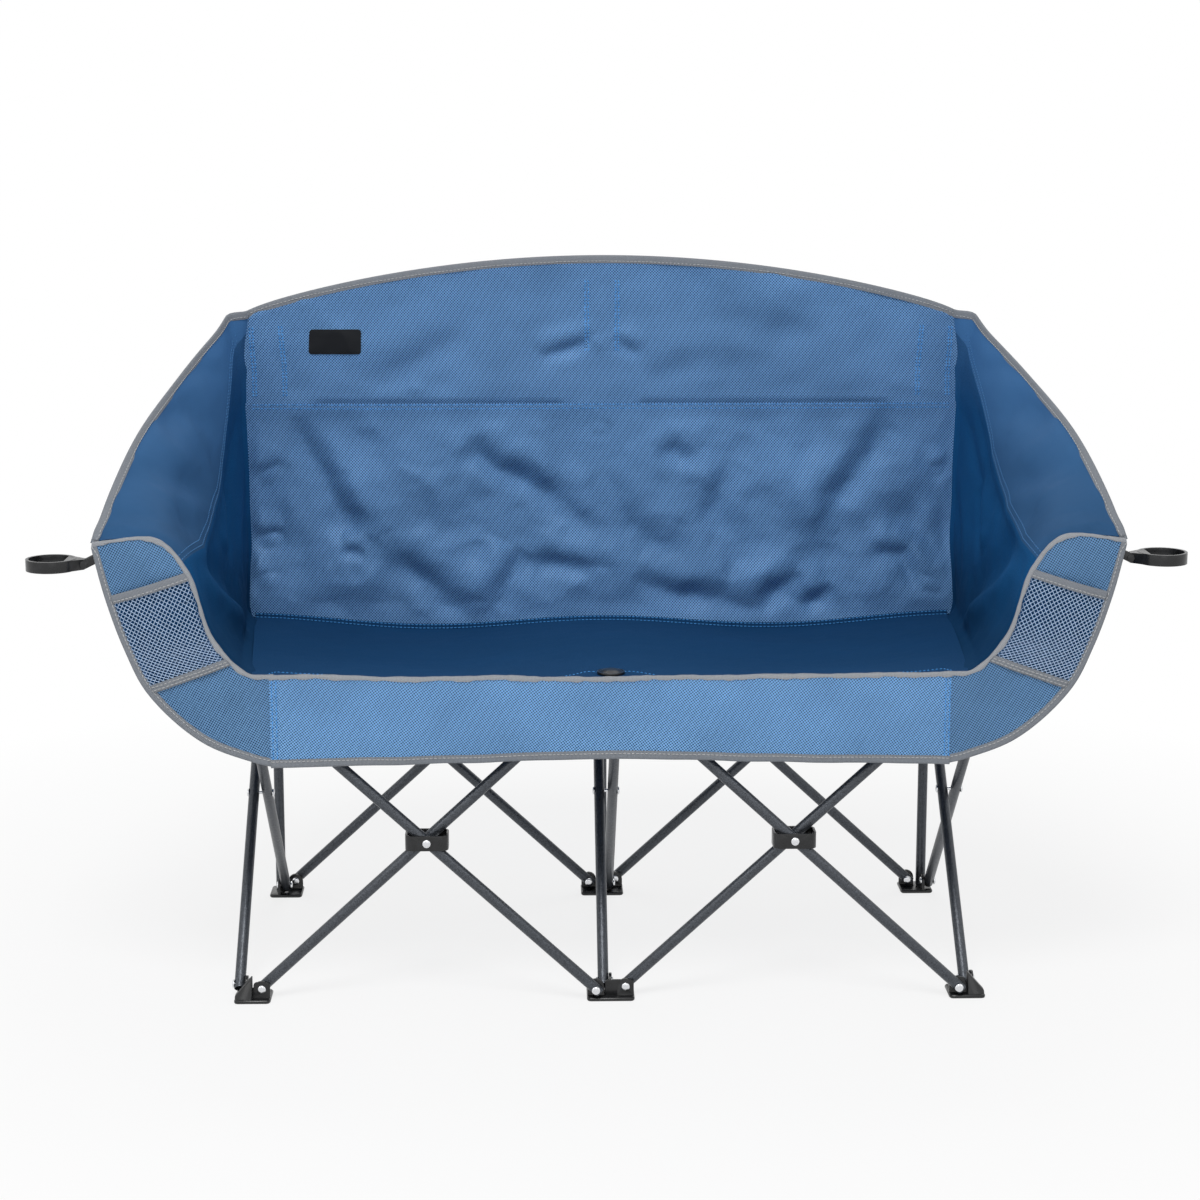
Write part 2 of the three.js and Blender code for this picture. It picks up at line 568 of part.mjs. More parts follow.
function seatPoint(across, along) {
  const half = THREE.MathUtils.lerp(SEAT_REAR_HALF, SEAT_FRONT_HALF, along) - CLOTH;
  const x = (2 * across - 1) * half;
  const y = THREE.MathUtils.lerp(SEAT_REAR_Y, SEAT_FRONT_Y, along);
  const rise = Math.sin(Math.min(1, along / 0.85) * Math.PI / 2);
  const level = THREE.MathUtils.lerp(SEAT_REAR_Z, SEAT_FRONT_Z, rise);
  const sides = SEAT_SIDE_RISE * (2 * across - 1) ** 2;
  const flat = INNER_X + EAR_RADIUS + SLAB_MARGIN / 2; // half of the level strip over the centre bracket
  const inBay = THREE.MathUtils.clamp((Math.abs(x) - flat) / (half - flat), 0, 1);
  const hollow = Math.sin(Math.PI * inBay) * Math.sin(Math.PI * along) ** 0.8;
  return at(x, y, level + sides - SEAT_SAG * hollow);
}

const HALF_GAP_SHARE = 0.0008; // share of the seat's depth left open between its halves
addPiece('seat_rear', sheet((u, v) => seatPoint(1 - u, v * (0.5 - HALF_GAP_SHARE)), 24, 4), 'navy');
const seatFront = (u, v) => seatPoint(1 - u, 0.5 + HALF_GAP_SHARE + v * (0.5 - HALF_GAP_SHARE));
addPiece('seat_front', sheet(seatFront, 24, 4), 'navy');

const buttonProfile = [
  [0, 0],
  [BUTTON_RADIUS, 0],
  [BUTTON_RADIUS, BUTTON_HEIGHT * 0.36],
  [BUTTON_RADIUS * 0.72, BUTTON_HEIGHT * 0.8],
  [0, BUTTON_HEIGHT],
];
const buttonLine = buttonProfile.map(([r, h]) => new THREE.Vector2(r, h));
const buttonGeometry = new THREE.LatheGeometry(buttonLine, 20);
const button = addPiece('seat_button', buttonGeometry, 'plastic');
button.rotation.x = Math.PI / 2;
button.position.set(0, -PLANE_Y, SEAT_FRONT_Z + CLOTH / 2 + FIT);

// Back: two panels that hang in front of the posts, bowed a little between them

function backHalf(z) {
  const share = (z - SEAT_REAR_Z) / (BACK_TOP_Z - BACK_TOP_DROP - SEAT_REAR_Z);
  return THREE.MathUtils.lerp(BACK_BOTTOM_HALF, BACK_TOP_HALF, Math.min(1, share));
}

function backDepth(across, z) {
  const sleeveTop = SLAB_TOP_Z - SLAB_THICK + SLEEVE_HEIGHT;
  const lean = THREE.MathUtils.smoothstep(z, sleeveTop, BACK_LEAN_TOP);
  const betweenPosts = Math.min(1, Math.abs(across * backHalf(z)) / (SIDE_X - TUBE_RADIUS));
  const bow = BACK_BOW * Math.sin(Math.PI * betweenPosts) ** 2 * lean;
  return THREE.MathUtils.lerp(BACK_FOOT_Y, BACK_POST_Y, lean) + bow;
}

function backPoint(across, z) {
  return at(across * backHalf(z), backDepth(across, z), z);
}

const BACK_BOTTOM_Z = SEAT_REAR_Z + CLOTH;
addPiece('back_lower_panel', sheet((u, v) => {
  const z = THREE.MathUtils.lerp(BACK_BOTTOM_Z, BACK_SPLIT_Z - CLOTH_GAP / 2, v);
  return backPoint(2 * u - 1, z);
}, 16, 7), 'blue');
addPiece('back_upper_panel', sheet((u, v) => {
  const across = 2 * u - 1;
  return backPoint(across, THREE.MathUtils.lerp(BACK_SPLIT_Z + CLOTH_GAP / 2, backTop(across), v));
}, 16, 5), 'blue');

// Front band: hangs from the seat's front edge between the two upright seams

function bandBottom(across) {
  return SEAT_FRONT_Z - BAND_DROP - BAND_FALL * Math.abs(across) ** 1.5;
}

addPiece('front_band', sheet((u, v) => {
  const across = 2 * u - 1;
  const x = across * BAND_SEAM_X;
  const bay = Math.sin(Math.PI * Math.abs(across)) ** 2;
  const top = seatPoint(0.5 + x / (2 * SEAT_FRONT_HALF), 1).z;
  const bulge = BAND_BULGE * bay * Math.sin(Math.PI * v * 0.8);
  const folds = BAND_FOLD * (1 - Math.cos(8 * Math.PI * across)) * v * v * bay;
  const y = FRONT_CLOTH_Y - CLOTH / 2 - bulge - folds;
  return at(x, y, THREE.MathUtils.lerp(top, bandBottom(across), v));
}, 32, 5), 'band');

// Arm bands: curve up from the seams to the arm tips, in front of the long tubes. The points of their
// two edges are shares of the way from the seam to the arm end of the tube: outward, then up.
const ARM_INNER_SHARES = [
  [0, 0], [0.124, 0.018], [0.326, 0.315], [0.464, 0.879], [0.644, 1.153], [1.03, 1.129],
];
const ARM_OUTER_SHARES = [
  [0, 0], [0.404, 0.124], [0.722, 0.356], [0.855, 0.565], [0.962, 0.814], [1.035, 1.052],
];
const SEAM_X = BAND_SEAM_X + CLOTH_GAP;
const SEAM_TOP_Z = seatPoint(0.5 + BAND_SEAM_X / (2 * SEAT_FRONT_HALF), 1).z;
const ARM_END_X = INNER_X + (ARM_REACH * BAY_WIDTH) / PAIR_LENGTH;
const ARM_END_Z = FOOT_RIVET_Z + (ARM_REACH * PAIR_RISE) / PAIR_LENGTH;

function armCurve(shares, startZ) {
  const { lerp } = THREE.MathUtils;
  const spots = shares.map(([out, up]) => at(lerp(SEAM_X, ARM_END_X, out), 0, lerp(startZ, ARM_END_Z, up)));
  return new THREE.CatmullRomCurve3(spots, false, 'centripetal');
}

const armInner = armCurve(ARM_INNER_SHARES, SEAM_TOP_Z);
const armOuter = armCurve(ARM_OUTER_SHARES, bandBottom(1));
const ARM_STEPS = 14;

function armSpot(along, across) {
  const spot = armInner.getPoint(along).lerp(armOuter.getPoint(along), across);
  return new THREE.Vector2(spot.x, spot.z);
}

function armOutline() {
  const outline = [];
  for (let i = 0; i <= ARM_STEPS; i += 1) outline.push(armSpot(i / ARM_STEPS, 0));
  for (let i = ARM_STEPS; i >= 0; i -= 1) outline.push(armSpot(i / ARM_STEPS, 1));
  return outline;
}

// The net of a pocket: a patch of the arm band between two hems, with rows of gaps
const NET_INNER_SHARES = [0.28, 0.6]; // lower and upper hem, as shares along the arm's inner edge
const NET_OUTER_SHARES = [0.4, 0.8]; // the same along its outer edge
const NET_ACROSS_SHARES = [0.1, 0.9];
const NET_ROWS = 9;
const NET_COLUMNS = 5;
const NET_STRAND_SHARE = 0.22; // strand's share of one gap's pitch

function netSpot(row, column) {
  const { lerp } = THREE.MathUtils;
  const across = lerp(...NET_ACROSS_SHARES, column / NET_COLUMNS);
  const inner = armInner.getPoint(lerp(...NET_INNER_SHARES, row / NET_ROWS));
  const spot = inner.lerp(armOuter.getPoint(lerp(...NET_OUTER_SHARES, row / NET_ROWS)), across);
  return new THREE.Vector2(spot.x, spot.z);
}

// One frame of strands round each gap, with a front and a back point at every corner
function netGeometry(side, y) {
  const points = [];
  const faces = [];
  const quad = (a, b, c, d) => faces.push(a, b, c, a, c, d);
  const wall = (a, b) => quad(a, b, b + 1, a + 1);
  const corner = (row, column) => {
    const spot = netSpot(row, column);
    points.push(at(side * spot.x, y - NET / 2, spot.y), at(side * spot.x, y + NET / 2, spot.y));
    return points.length - 2;
  };
  const rows = [];
  for (let r = 0; r <= NET_ROWS; r += 1) {
    rows.push([]);
    for (let c = 0; c <= NET_COLUMNS; c += 1) rows[r].push(corner(r, c));
  }
  const [low, high] = [NET_STRAND_SHARE, 1 - NET_STRAND_SHARE];
  for (let r = 0; r < NET_ROWS; r += 1) {
    for (let c = 0; c < NET_COLUMNS; c += 1) {
      const outer = [rows[r][c], rows[r][c + 1], rows[r + 1][c + 1], rows[r + 1][c]];
      const gap = [[low, low], [low, high], [high, high], [high, low]].map(([a, b]) => corner(r + a, c + b));
      for (let k = 0; k < 4; k += 1) {
        const next = (k + 1) % 4;
        quad(outer[k], outer[next], gap[next], gap[k]);
        quad(gap[k] + 1, gap[next] + 1, outer[next] + 1, outer[k] + 1);
        wall(gap[k], gap[next]);
      }
    }
  }
  for (let c = 0; c < NET_COLUMNS; c += 1) {
    wall(rows[0][c + 1], rows[0][c]);
    wall(rows[NET_ROWS][c], rows[NET_ROWS][c + 1]);
  }
  for (let r = 0; r < NET_ROWS; r += 1) {
    wall(rows[r][0], rows[r + 1][0]);
    wall(rows[r + 1][NET_COLUMNS], rows[r][NET_COLUMNS]);
  }
  if (side < 0) faces.reverse();
  const geometry = new THREE.BufferGeometry().setFromPoints(points);
  geometry.setIndex(faces);
  geometry.computeVertexNormals();
  return geometry;
}

for (const bay of BAYS) {
  const outline = armOutline().map((spot) => new THREE.Vector2(bay.x * spot.x, spot.y));
  const bandY = FRONT_CLOTH_Y - CLOTH / 2;
  const netY = FRONT_CLOTH_Y - CLOTH - FIT - NET / 2;
  const band = plate(new THREE.Shape(outline), CLOTH, at(0, bandY, 0), X, Z);
  addPiece(`${bay.name}_arm_band`, band, 'band');
  addPiece(`${bay.name}_mesh_pocket`, netGeometry(bay.x, netY), 'net');
}

// Side wings: from the back's side edge round to the arm band, over the seat's side edge
const WING_TOP_SHARES = [[0, 0], [0.4, 0.287], [0.7, 0.538], [0.88, 0.782]]; // shares forward and of the fall
const WING_CORNER_DROP = 4; // wing's rear corner below the back's
const WING_EDGE_GAP = CLOTH + CLOTH_GAP;

function wingPoint(forward, up) {
  const rearEdge = (v) => {
    const z = THREE.MathUtils.lerp(BACK_BOTTOM_Z, backTop(1) - WING_CORNER_DROP, v);
    return at(backHalf(z) + WING_EDGE_GAP, backDepth(1, z), z);
  };
  const tip = armInner.getPoint(1);
  const armTip = at(tip.x, SEAT_FRONT_Y, tip.z);
  const frontEdge = (v) => {
    const spot = armInner.getPoint(THREE.MathUtils.lerp(0.2, 1, v));
    return at(spot.x, SEAT_FRONT_Y, spot.z);
  };
  const rearTop = rearEdge(1);
  const fallTo = (share) => THREE.MathUtils.lerp(rearTop.z, armTip.z, share);
  const topSpot = ([ahead, fall]) => rearTop.clone().lerp(armTip, ahead).setZ(fallTo(fall));
  const spots = WING_TOP_SHARES.map(topSpot);
  const topCurve = new THREE.CatmullRomCurve3([...spots, armTip], false, 'centripetal');
  const bottomEdge = (u) => rearEdge(0).lerp(frontEdge(0), u);
  const ruledUp = bottomEdge(forward).lerp(topCurve.getPoint(forward), up);
  const ruledAlong = rearEdge(up).lerp(frontEdge(up), forward);
  const low = rearEdge(0).lerp(frontEdge(0), forward);
  const high = rearEdge(1).lerp(frontEdge(1), forward);
  return ruledUp.add(ruledAlong).sub(low.lerp(high, up));
}

for (const bay of BAYS) {
  const point = (u, v) => {
    const spot = wingPoint(bay.x < 0 ? u : 1 - u, v);
    return spot.setX(bay.x * spot.x);
  };
  addPiece(`${bay.name}_side_wing`, sheet(point, 12, 8), 'navy');
}

// The origin lies on the ground under the middle of the whole
model.updateMatrixWorld(true);
const extent = new THREE.Box3().setFromObject(model, true);
model.position.y = -(extent.min.y + extent.max.y) / 2;

export default model;
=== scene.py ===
"""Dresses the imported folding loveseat: frame tubes, fittings, cloth, trim and a studio stage."""
import json
import math

import bmesh
import bpy
import numpy as np
from bpy.props import FloatProperty, FloatVectorProperty, IntProperty, PointerProperty
from bpy.types import Operator, Panel, PropertyGroup
from mathutils import Matrix, Vector, noise

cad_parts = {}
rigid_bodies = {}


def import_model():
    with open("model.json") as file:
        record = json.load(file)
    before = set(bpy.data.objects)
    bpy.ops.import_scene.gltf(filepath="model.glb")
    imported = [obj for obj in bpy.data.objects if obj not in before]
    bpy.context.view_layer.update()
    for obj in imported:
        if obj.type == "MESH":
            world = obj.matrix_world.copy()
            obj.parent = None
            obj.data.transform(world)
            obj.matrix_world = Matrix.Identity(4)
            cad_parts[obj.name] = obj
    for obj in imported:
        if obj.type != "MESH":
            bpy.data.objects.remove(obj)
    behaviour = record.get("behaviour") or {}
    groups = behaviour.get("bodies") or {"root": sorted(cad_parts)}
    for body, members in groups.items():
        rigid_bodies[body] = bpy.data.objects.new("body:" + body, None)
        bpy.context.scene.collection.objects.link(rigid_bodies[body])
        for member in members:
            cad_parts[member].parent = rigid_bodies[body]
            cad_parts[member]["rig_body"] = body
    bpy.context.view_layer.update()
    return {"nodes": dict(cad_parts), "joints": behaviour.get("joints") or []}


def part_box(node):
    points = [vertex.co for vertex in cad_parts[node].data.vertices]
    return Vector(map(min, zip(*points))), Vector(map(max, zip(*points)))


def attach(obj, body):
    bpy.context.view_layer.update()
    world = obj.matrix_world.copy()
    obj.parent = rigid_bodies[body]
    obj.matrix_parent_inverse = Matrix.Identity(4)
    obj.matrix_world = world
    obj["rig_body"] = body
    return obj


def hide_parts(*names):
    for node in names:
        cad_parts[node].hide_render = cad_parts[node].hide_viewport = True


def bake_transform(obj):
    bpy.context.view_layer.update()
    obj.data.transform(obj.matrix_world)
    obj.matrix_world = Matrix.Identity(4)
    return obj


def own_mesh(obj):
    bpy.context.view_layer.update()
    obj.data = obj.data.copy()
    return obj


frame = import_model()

bl_info = {
    "name": "Folding Camping Loveseat",
    "version": (1, 0, 0),
    "blender": (4, 5, 0),
    "location": "3D View > Sidebar > Loveseat",
    "description": "Builds the tubes, fittings, cloth and studio of a folding loveseat on its frame",
    "category": "Object",
}

SIDES = {"left": -1, "right": 1}
UP = Vector((0, 0, 1))

# Clearances and cloth thickness of the CAD model, in metres
FIT = 0.0003
CLOTH_GAP = 0.0008
CAD_CLOTH = 0.0024


def joint_place(name):
    """Where a joint of the frame lies."""
    return Vector(next(joint["pos_m"] for joint in frame["joints"] if joint["name"] == name))


def node_middle(node):
    """Middle of a CAD node's box."""
    low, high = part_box(node)
    return (low + high) / 2


def node_body(node):
    """Name of the body that a CAD node rides on."""
    return frame["nodes"][node]["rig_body"]


def tube_axis(node):
    """Lower and upper end of a CAD tube's middle line."""
    spots = np.array([vertex.co for vertex in frame["nodes"][node].data.vertices])
    centre = (spots.min(axis=0) + spots.max(axis=0)) / 2
    along = np.linalg.svd(spots - spots.mean(axis=0), full_matrices=False)[2][0]
    along = along if along[2] > 0 else -along
    reach = (spots - centre) @ along
    return Vector(centre + along * reach.min()), Vector(centre + along * reach.max())


# Places that the cloth follows, read from the frame
POST = node_middle("right_back_post")
TUBE_RADIUS = (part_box("right_back_post")[1].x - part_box("right_back_post")[0].x) / 2
CENTRE_RIVET_X = joint_place("front_right_outward_pivot").x
OUTER_RIVET_X = joint_place("front_right_top_pivot").x
TOP_RIVET_Z = joint_place("front_right_top_pivot").z
ARM_END = tube_axis("front_right_outward_tube")[1]
BAND_BACK_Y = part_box("right_arm_band")[1].y
SLEEVE_TOP_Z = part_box("rear_right_slider")[1].z
SEAT_REAR_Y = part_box("seat_rear")[1].y
SEAT_FRONT_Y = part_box("seat_front")[0].y
SEAT_REAR_Z = TOP_RIVET_Z + 0.0005
SEAT_FRONT_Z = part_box("front_centre_top_bracket")[1].z + FIT + CAD_CLOTH / 2
SEAT_REAR_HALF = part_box("seat_rear")[1].x
SEAT_FRONT_HALF = 2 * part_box("seat_front")[1].x - SEAT_REAR_HALF
BACK_FOOT_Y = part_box("rear_right_slider")[0].y - CLOTH_GAP - CAD_CLOTH / 2
BACK_POST_Y = POST.y - TUBE_RADIUS - FIT - CAD_CLOTH / 2
BACK_TOP_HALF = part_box("back_upper_panel")[1].x
BACK_TOP_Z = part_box("back_upper_panel")[1].z
BACK_SPLIT_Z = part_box("back_lower_panel")[1].z
BACK_BOTTOM_Z = SEAT_REAR_Z + CAD_CLOTH
BAND_Y = BAND_BACK_Y - CAD_CLOTH / 2

# Forms of the cloth that the boxes don't give, in metres
BACK_BOTTOM_HALF = POST.x + 0.0284
BACK_TOP_DROP = 0.086
BACK_BOW = -0.002  # a little forward between the posts, which stay behind the back when the chair folds
BACK_LEAN_TOP = 0.62
SEAT_SAG = 0.022
SEAT_SIDE_RISE = 0.006
SEAT_REAR_DIP = 0.014
BAND_SEAM_X = OUTER_RIVET_X - 0.0236
BAND_DROP = 0.117
BAND_FALL = 0.011
BAND_BULGE = 0.009
BAND_FOLD = 0.0025
WING_CORNER_DROP = 0.001
LEVEL_STRIP = CENTRE_RIVET_X + 0.01975

# Height and spread of the back's sides beyond straight lines, and the wings' seams as shares forward and up
BACK_SPREAD = [(0.46, 0.009), (0.60, 0.0), (0.77, -0.005), (0.87, -0.010), (0.957, -0.001)]
WING_SEAMS = {
    -1: [(0, 0.93), (0.06, 0.875), (0.11, 0.80), (0.16, 0.725), (0.22, 0.65), (0.29, 0.59), (0.37, 0.55),
         (0.47, 0.52), (0.60, 0.497), (0.72, 0.485), (0.90, 0.535), (1, 0.56)],
    1: [(0, 0.93), (0.05, 0.88), (0.16, 0.795), (0.30, 0.665), (0.42, 0.605), (0.54, 0.565),
        (0.80, 0.54), (1, 0.56)],
}

# Shares of the way from the upright seam to the arm end: outward, then up
ARM_INNER_SHARES = [(0, 0), (0.124, 0.018), (0.326, 0.315), (0.464, 0.879), (0.644, 1.153), (1.03, 1.129)]
ARM_OUTER_SHARES = [(0, 0), (0.404, 0.124), (0.722, 0.356), (0.855, 0.565), (0.962, 0.814), (1.035, 1.052)]
WING_TOP_SHARES = [(0, 0), (0.4, 0.287), (0.7, 0.538), (0.88, 0.782)]
NET_INNER_SHARES = (0.28, 0.6)
NET_OUTER_SHARES = (0.4, 0.8)
WING_FRONT_SHARE = 0.2  # where the wing's foot meets the arm's inner edge

# Shares of their width that the panels keep when the chair is folded
BACK_KEEP = 0.30
SEAT_KEEP = 0.24
BAND_KEEP = 0.172
WING_KEEP = 0.22
WING_FOLD_LEAN = 0.18  # inward share of the way in which a wing folds back

# Where the right arm band starts and stops bending: x and z
ARM_BEND = ((BAND_SEAM_X, 0.405), (BAND_SEAM_X + 0.135, 0.525))

# Tapes and the stitch rows on them, in metres
TAPE_THICK = 0.0011
LIP_TAPE_THICK = 0.0018
LIP_PUCKER = 0.45
TAPE_LIFT = 0.0021
STITCH_INSET = 0.008


class LoveseatSizes(PropertyGroup):
    """Sizes that a maker would change without changing the frame."""

    cloth: FloatProperty(
        name="Cloth", description="Thickness of the woven panels", default=0.0014, unit="LENGTH")
    weave: FloatProperty(
        name="Weave", description="Pitch of the dots in the two-tone cloth", default=0.0032, unit="LENGTH")
    plain_weave: FloatProperty(
        name="Plain weave", description="Pitch of the threads in the navy cloth", default=0.0017,
        unit="LENGTH")
    tape: FloatProperty(
        name="Edge tape", description="Width of the grey tape on the cloth's edges", default=0.0115,
        unit="LENGTH")
    lip_tape: FloatProperty(
        name="Lip tape", description="Width of the tape on the seat's front lip", default=0.0050,
        unit="LENGTH")
    stitch: FloatProperty(
        name="Stitch", description="Length of one stitch", default=0.0052, unit="LENGTH")
    stitch_gap: FloatProperty(
        name="Stitch gap", description="Gap between two stitches", default=0.0010, unit="LENGTH")
    thread: FloatProperty(
        name="Thread", description="Radius of the sewing thread", default=0.00088, unit="LENGTH")
    crease: FloatProperty(
        name="Crease", description="Depth of the creases in the back", default=0.0078, unit="LENGTH")
    net_pitch: FloatProperty(
        name="Net pitch", description="Size of the net's meshes", default=0.0066, unit="LENGTH")
    net_cord: FloatProperty(
        name="Net cord", description="Thickness of the net's cord", default=0.0017, unit="LENGTH")
    edge_round: FloatProperty(
        name="Edge round", description="Rounding of the moulded fittings' edges", default=0.0009,
        unit="LENGTH")
    tube_sides: IntProperty(
        name="Tube sides", description="Faces round a tube", default=32, min=12)


class LoveseatColours(PropertyGroup):
    """Colours of the finishes, as linear red, green and blue."""

    back_light: FloatVectorProperty(
        name="Back, light thread", description="Light thread of the back", default=(0.176, 0.376, 0.700),
        subtype="COLOR")
    back_dark: FloatVectorProperty(
        name="Back, dark thread", description="Dark thread of the back", default=(0.003, 0.026, 0.085),
        subtype="COLOR")
    band_light: FloatVectorProperty(
        name="Band, light thread", description="Light thread of the front band",
        default=(0.248, 0.508, 0.880), subtype="COLOR")
    band_dark: FloatVectorProperty(
        name="Band, dark thread", description="Dark thread of the front band", default=(0.004, 0.030, 0.095),
        subtype="COLOR")
    wing: FloatVectorProperty(
        name="Wing", description="Cloth of the wings", default=(0.044, 0.128, 0.284), subtype="COLOR")
    # The gusset colour stands for the wing cloth in painted shade.
    gusset: FloatVectorProperty(
        name="Gusset", description="Cloth of the gussets", default=(0.0100, 0.088, 0.240), subtype="COLOR")
    seat: FloatVectorProperty(
        name="Seat", description="Navy cloth of the seat", default=(0.0088, 0.048, 0.128), subtype="COLOR")
    tape: FloatVectorProperty(
        name="Tape", description="Grey edge tape", default=(0.222, 0.240, 0.268), subtype="COLOR")
    lip_tape: FloatVectorProperty(
        name="Lip tape", description="Pale tape on the front lip", default=(0.330, 0.345, 0.370),
        subtype="COLOR")
    thread: FloatVectorProperty(
        name="Thread", description="Blue topstitching", default=(0.055, 0.310, 0.740), subtype="COLOR")
    pale_thread: FloatVectorProperty(
        name="Pale thread", description="Stitching on the tape", default=(0.46, 0.47, 0.48), subtype="COLOR")
    net: FloatVectorProperty(
        name="Net", description="Cord of the pocket nets", default=(0.430, 0.570, 0.770), subtype="COLOR")
    tube: FloatVectorProperty(
        name="Tube", description="Powder coat of the tubes", default=(0.028, 0.031, 0.036), subtype="COLOR")
    plastic: FloatVectorProperty(
        name="Plastic", description="Moulded fittings", default=(0.009, 0.0095, 0.0105), subtype="COLOR")
    zinc: FloatVectorProperty(
        name="Zinc", description="Rivets", default=(0.74, 0.75, 0.77), subtype="COLOR")
    patch: FloatVectorProperty(
        name="Patch", description="Blank sewn patch on the back", default=(0.004, 0.005, 0.007),
        subtype="COLOR")
    floor: FloatVectorProperty(
        name="Floor", description="Studio floor", default=(0.93, 0.93, 0.93), subtype="COLOR")


def sizes():
    """The scene's sizes."""
    return bpy.context.scene.loveseat_sizes


def colours():
    """The scene's colours."""
    return bpy.context.scene.loveseat_colours


# Small tools for shapes

def lerp(a, b, share):
    return a + (b - a) * share


def clamp(value, low=0.0, high=1.0):
    return max(low, min(high, value))


def smoothstep(value, low, high):
    share = clamp((value - low) / (high - low))
    return share * share * (3 - 2 * share)


def curve_point(spots, share):
    """Point on a centripetal Catmull-Rom curve through spots, at a share of its way."""
    place = clamp(share) * (len(spots) - 1)
    index = min(int(place), len(spots) - 2)
    weight = place - index
    p1, p2 = spots[index], spots[index + 1]
    p0 = spots[index - 1] if index > 0 else p1 * 2 - p2
    p3 = spots[index + 2] if index + 2 < len(spots) else p2 * 2 - p1
    step = [max(1e-5, (b - a).length ** 0.5) for a, b in ((p0, p1), (p1, p2), (p2, p3))]
    start = (p1 - p0) / step[0] - (p2 - p0) / (step[0] + step[1]) + (p2 - p1) / step[1]
    stop = (p2 - p1) / step[1] - (p3 - p1) / (step[1] + step[2]) + (p3 - p2) / step[2]
    start *= step[1]
    stop *= step[1]
    bend = p2 * 3 - p1 * 3 - start * 2 - stop
    twist = p1 * 2 - p2 * 2 + start + stop
    return p1 + start * weight + bend * weight ** 2 + twist * weight ** 3


def surface_normal(point, u, v, towards):
    """Unit normal of point(u, v), on the side that faces towards."""
    step = 0.004
    across = point(min(1, u + step), v) - point(max(0, u - step), v)
    along = point(u, min(1, v + step)) - point(u, max(0, v - step))
    normal = across.cross(along).normalized()
    return normal if normal.dot(towards - point(u, v)) > 0 else -normal


def crumple(spot, scale, octaves=4):
    """Smooth uneven height from about -1 to 1, the same on every run."""
    return noise.fractal(spot * scale, 0.9, 2.1, octaves)


def creases(spot, scale):
    """Sharp-crested folds, from 0 to about 1."""
    return 1 - abs(noise.fractal(spot * scale, 1.0, 2.0, 3)) * 2.2


# Forms of the cloth

def rear_dip(x):
    """How far the seam between seat and back hangs down in the middle of a bay."""
    return SEAT_REAR_DIP * math.sin(math.pi * clamp(abs(x) / SEAT_REAR_HALF)) ** 2


def lip_wave(x):
    """Unevenness of the seat's front lip."""
    slow = noise.noise(Vector((x * 9.0, 3.1, 0.4)))
    quick = noise.noise(Vector((x * 26.0, 7.7, 1.9)))
    return 0.0022 * slow + 0.0012 * quick


def seat_point(across, along):
    """Seat cloth, across from left to right and along from the back to the front lip, both 0 to 1."""
    half = lerp(SEAT_REAR_HALF, SEAT_FRONT_HALF, along)
    x = (2 * across - 1) * half
    y = lerp(SEAT_REAR_Y, SEAT_FRONT_Y, along)
    level = lerp(SEAT_REAR_Z, SEAT_FRONT_Z, math.sin(min(1, along / 0.85) * math.pi / 2))
    side_rise = SEAT_SIDE_RISE * (2 * across - 1) ** 2
    in_bay = clamp((abs(x) - LEVEL_STRIP) / (half - LEVEL_STRIP))
    hollow = SEAT_SAG * math.sin(math.pi * in_bay) * max(0, math.sin(math.pi * along)) ** 0.8
    rear = rear_dip(x) * (1 - smoothstep(along, 0, 0.35))
    lip = lip_wave(x) * smoothstep(along, 0.9, 1)
    return Vector((x, y, level + side_rise - hollow - rear + lip))


def table_value(table, place):
    """Value at a place in a table of places and values, smoothly between its rows."""
    for (a, low), (b, high) in zip(table, table[1:]):
        if place <= b:
            return lerp(low, high, smoothstep(place, a, b))
    return table[-1][1]


def back_half(z):
    """Half the width of the back at a height."""
    share = (z - SEAT_REAR_Z) / (BACK_TOP_Z - BACK_TOP_DROP - SEAT_REAR_Z)
    return lerp(BACK_BOTTOM_HALF, BACK_TOP_HALF, clamp(share)) + table_value(BACK_SPREAD, z)


def back_depth(across, z):
    """Place of the back cloth in depth: against the posts above, in front of the sliders below."""
    lean = smoothstep(z, SLEEVE_TOP_Z, BACK_LEAN_TOP)
    between_posts = min(1, abs(across * back_half(z)) / (POST.x - TUBE_RADIUS))
    bow = BACK_BOW * math.sin(math.pi * between_posts) ** 2 * lean
    return lerp(BACK_FOOT_Y, BACK_POST_Y, lean) + bow


def back_top(across):
    """Height of the back's top edge."""
    return BACK_TOP_Z - BACK_TOP_DROP * across ** 2


def back_point(across, z):
    """Back cloth, across from -1 at the left edge to 1 at the right."""
    return Vector((across * back_half(z), back_depth(across, z), z))


def band_bottom(across):
    """Height of the front band's lower edge."""
    return SEAT_FRONT_Z - BAND_DROP - BAND_FALL * abs(across) ** 1.5


def band_point(u, v):
    """Front band, u from the left seam to the right one and v from its upper edge down."""
    across = 2 * u - 1
    x = across * BAND_SEAM_X
    bay = math.sin(math.pi * abs(across)) ** 2
    top = seat_point(0.5 + x / (2 * SEAT_FRONT_HALF), 1).z
    bulge = BAND_BULGE * bay * math.sin(math.pi * v * 0.8)
    folds = BAND_FOLD * (1 - math.cos(8 * math.pi * across)) * v * v * bay
    return Vector((x, BAND_Y - bulge - folds, lerp(top, band_bottom(across), v)))


def arm_spots(shares, start_z):
    """Points of one edge of the right arm band."""
    seam_x = BAND_SEAM_X + CLOTH_GAP
    return [
        Vector((lerp(seam_x, ARM_END.x, out), BAND_Y, lerp(start_z, ARM_END.z, rise)))
        for out, rise in shares
    ]


SEAM_TOP_Z = seat_point(0.5 + BAND_SEAM_X / (2 * SEAT_FRONT_HALF), 1).z
ARM_INNER = arm_spots(ARM_INNER_SHARES, SEAM_TOP_Z)
ARM_OUTER = arm_spots(ARM_OUTER_SHARES, band_bottom(1))


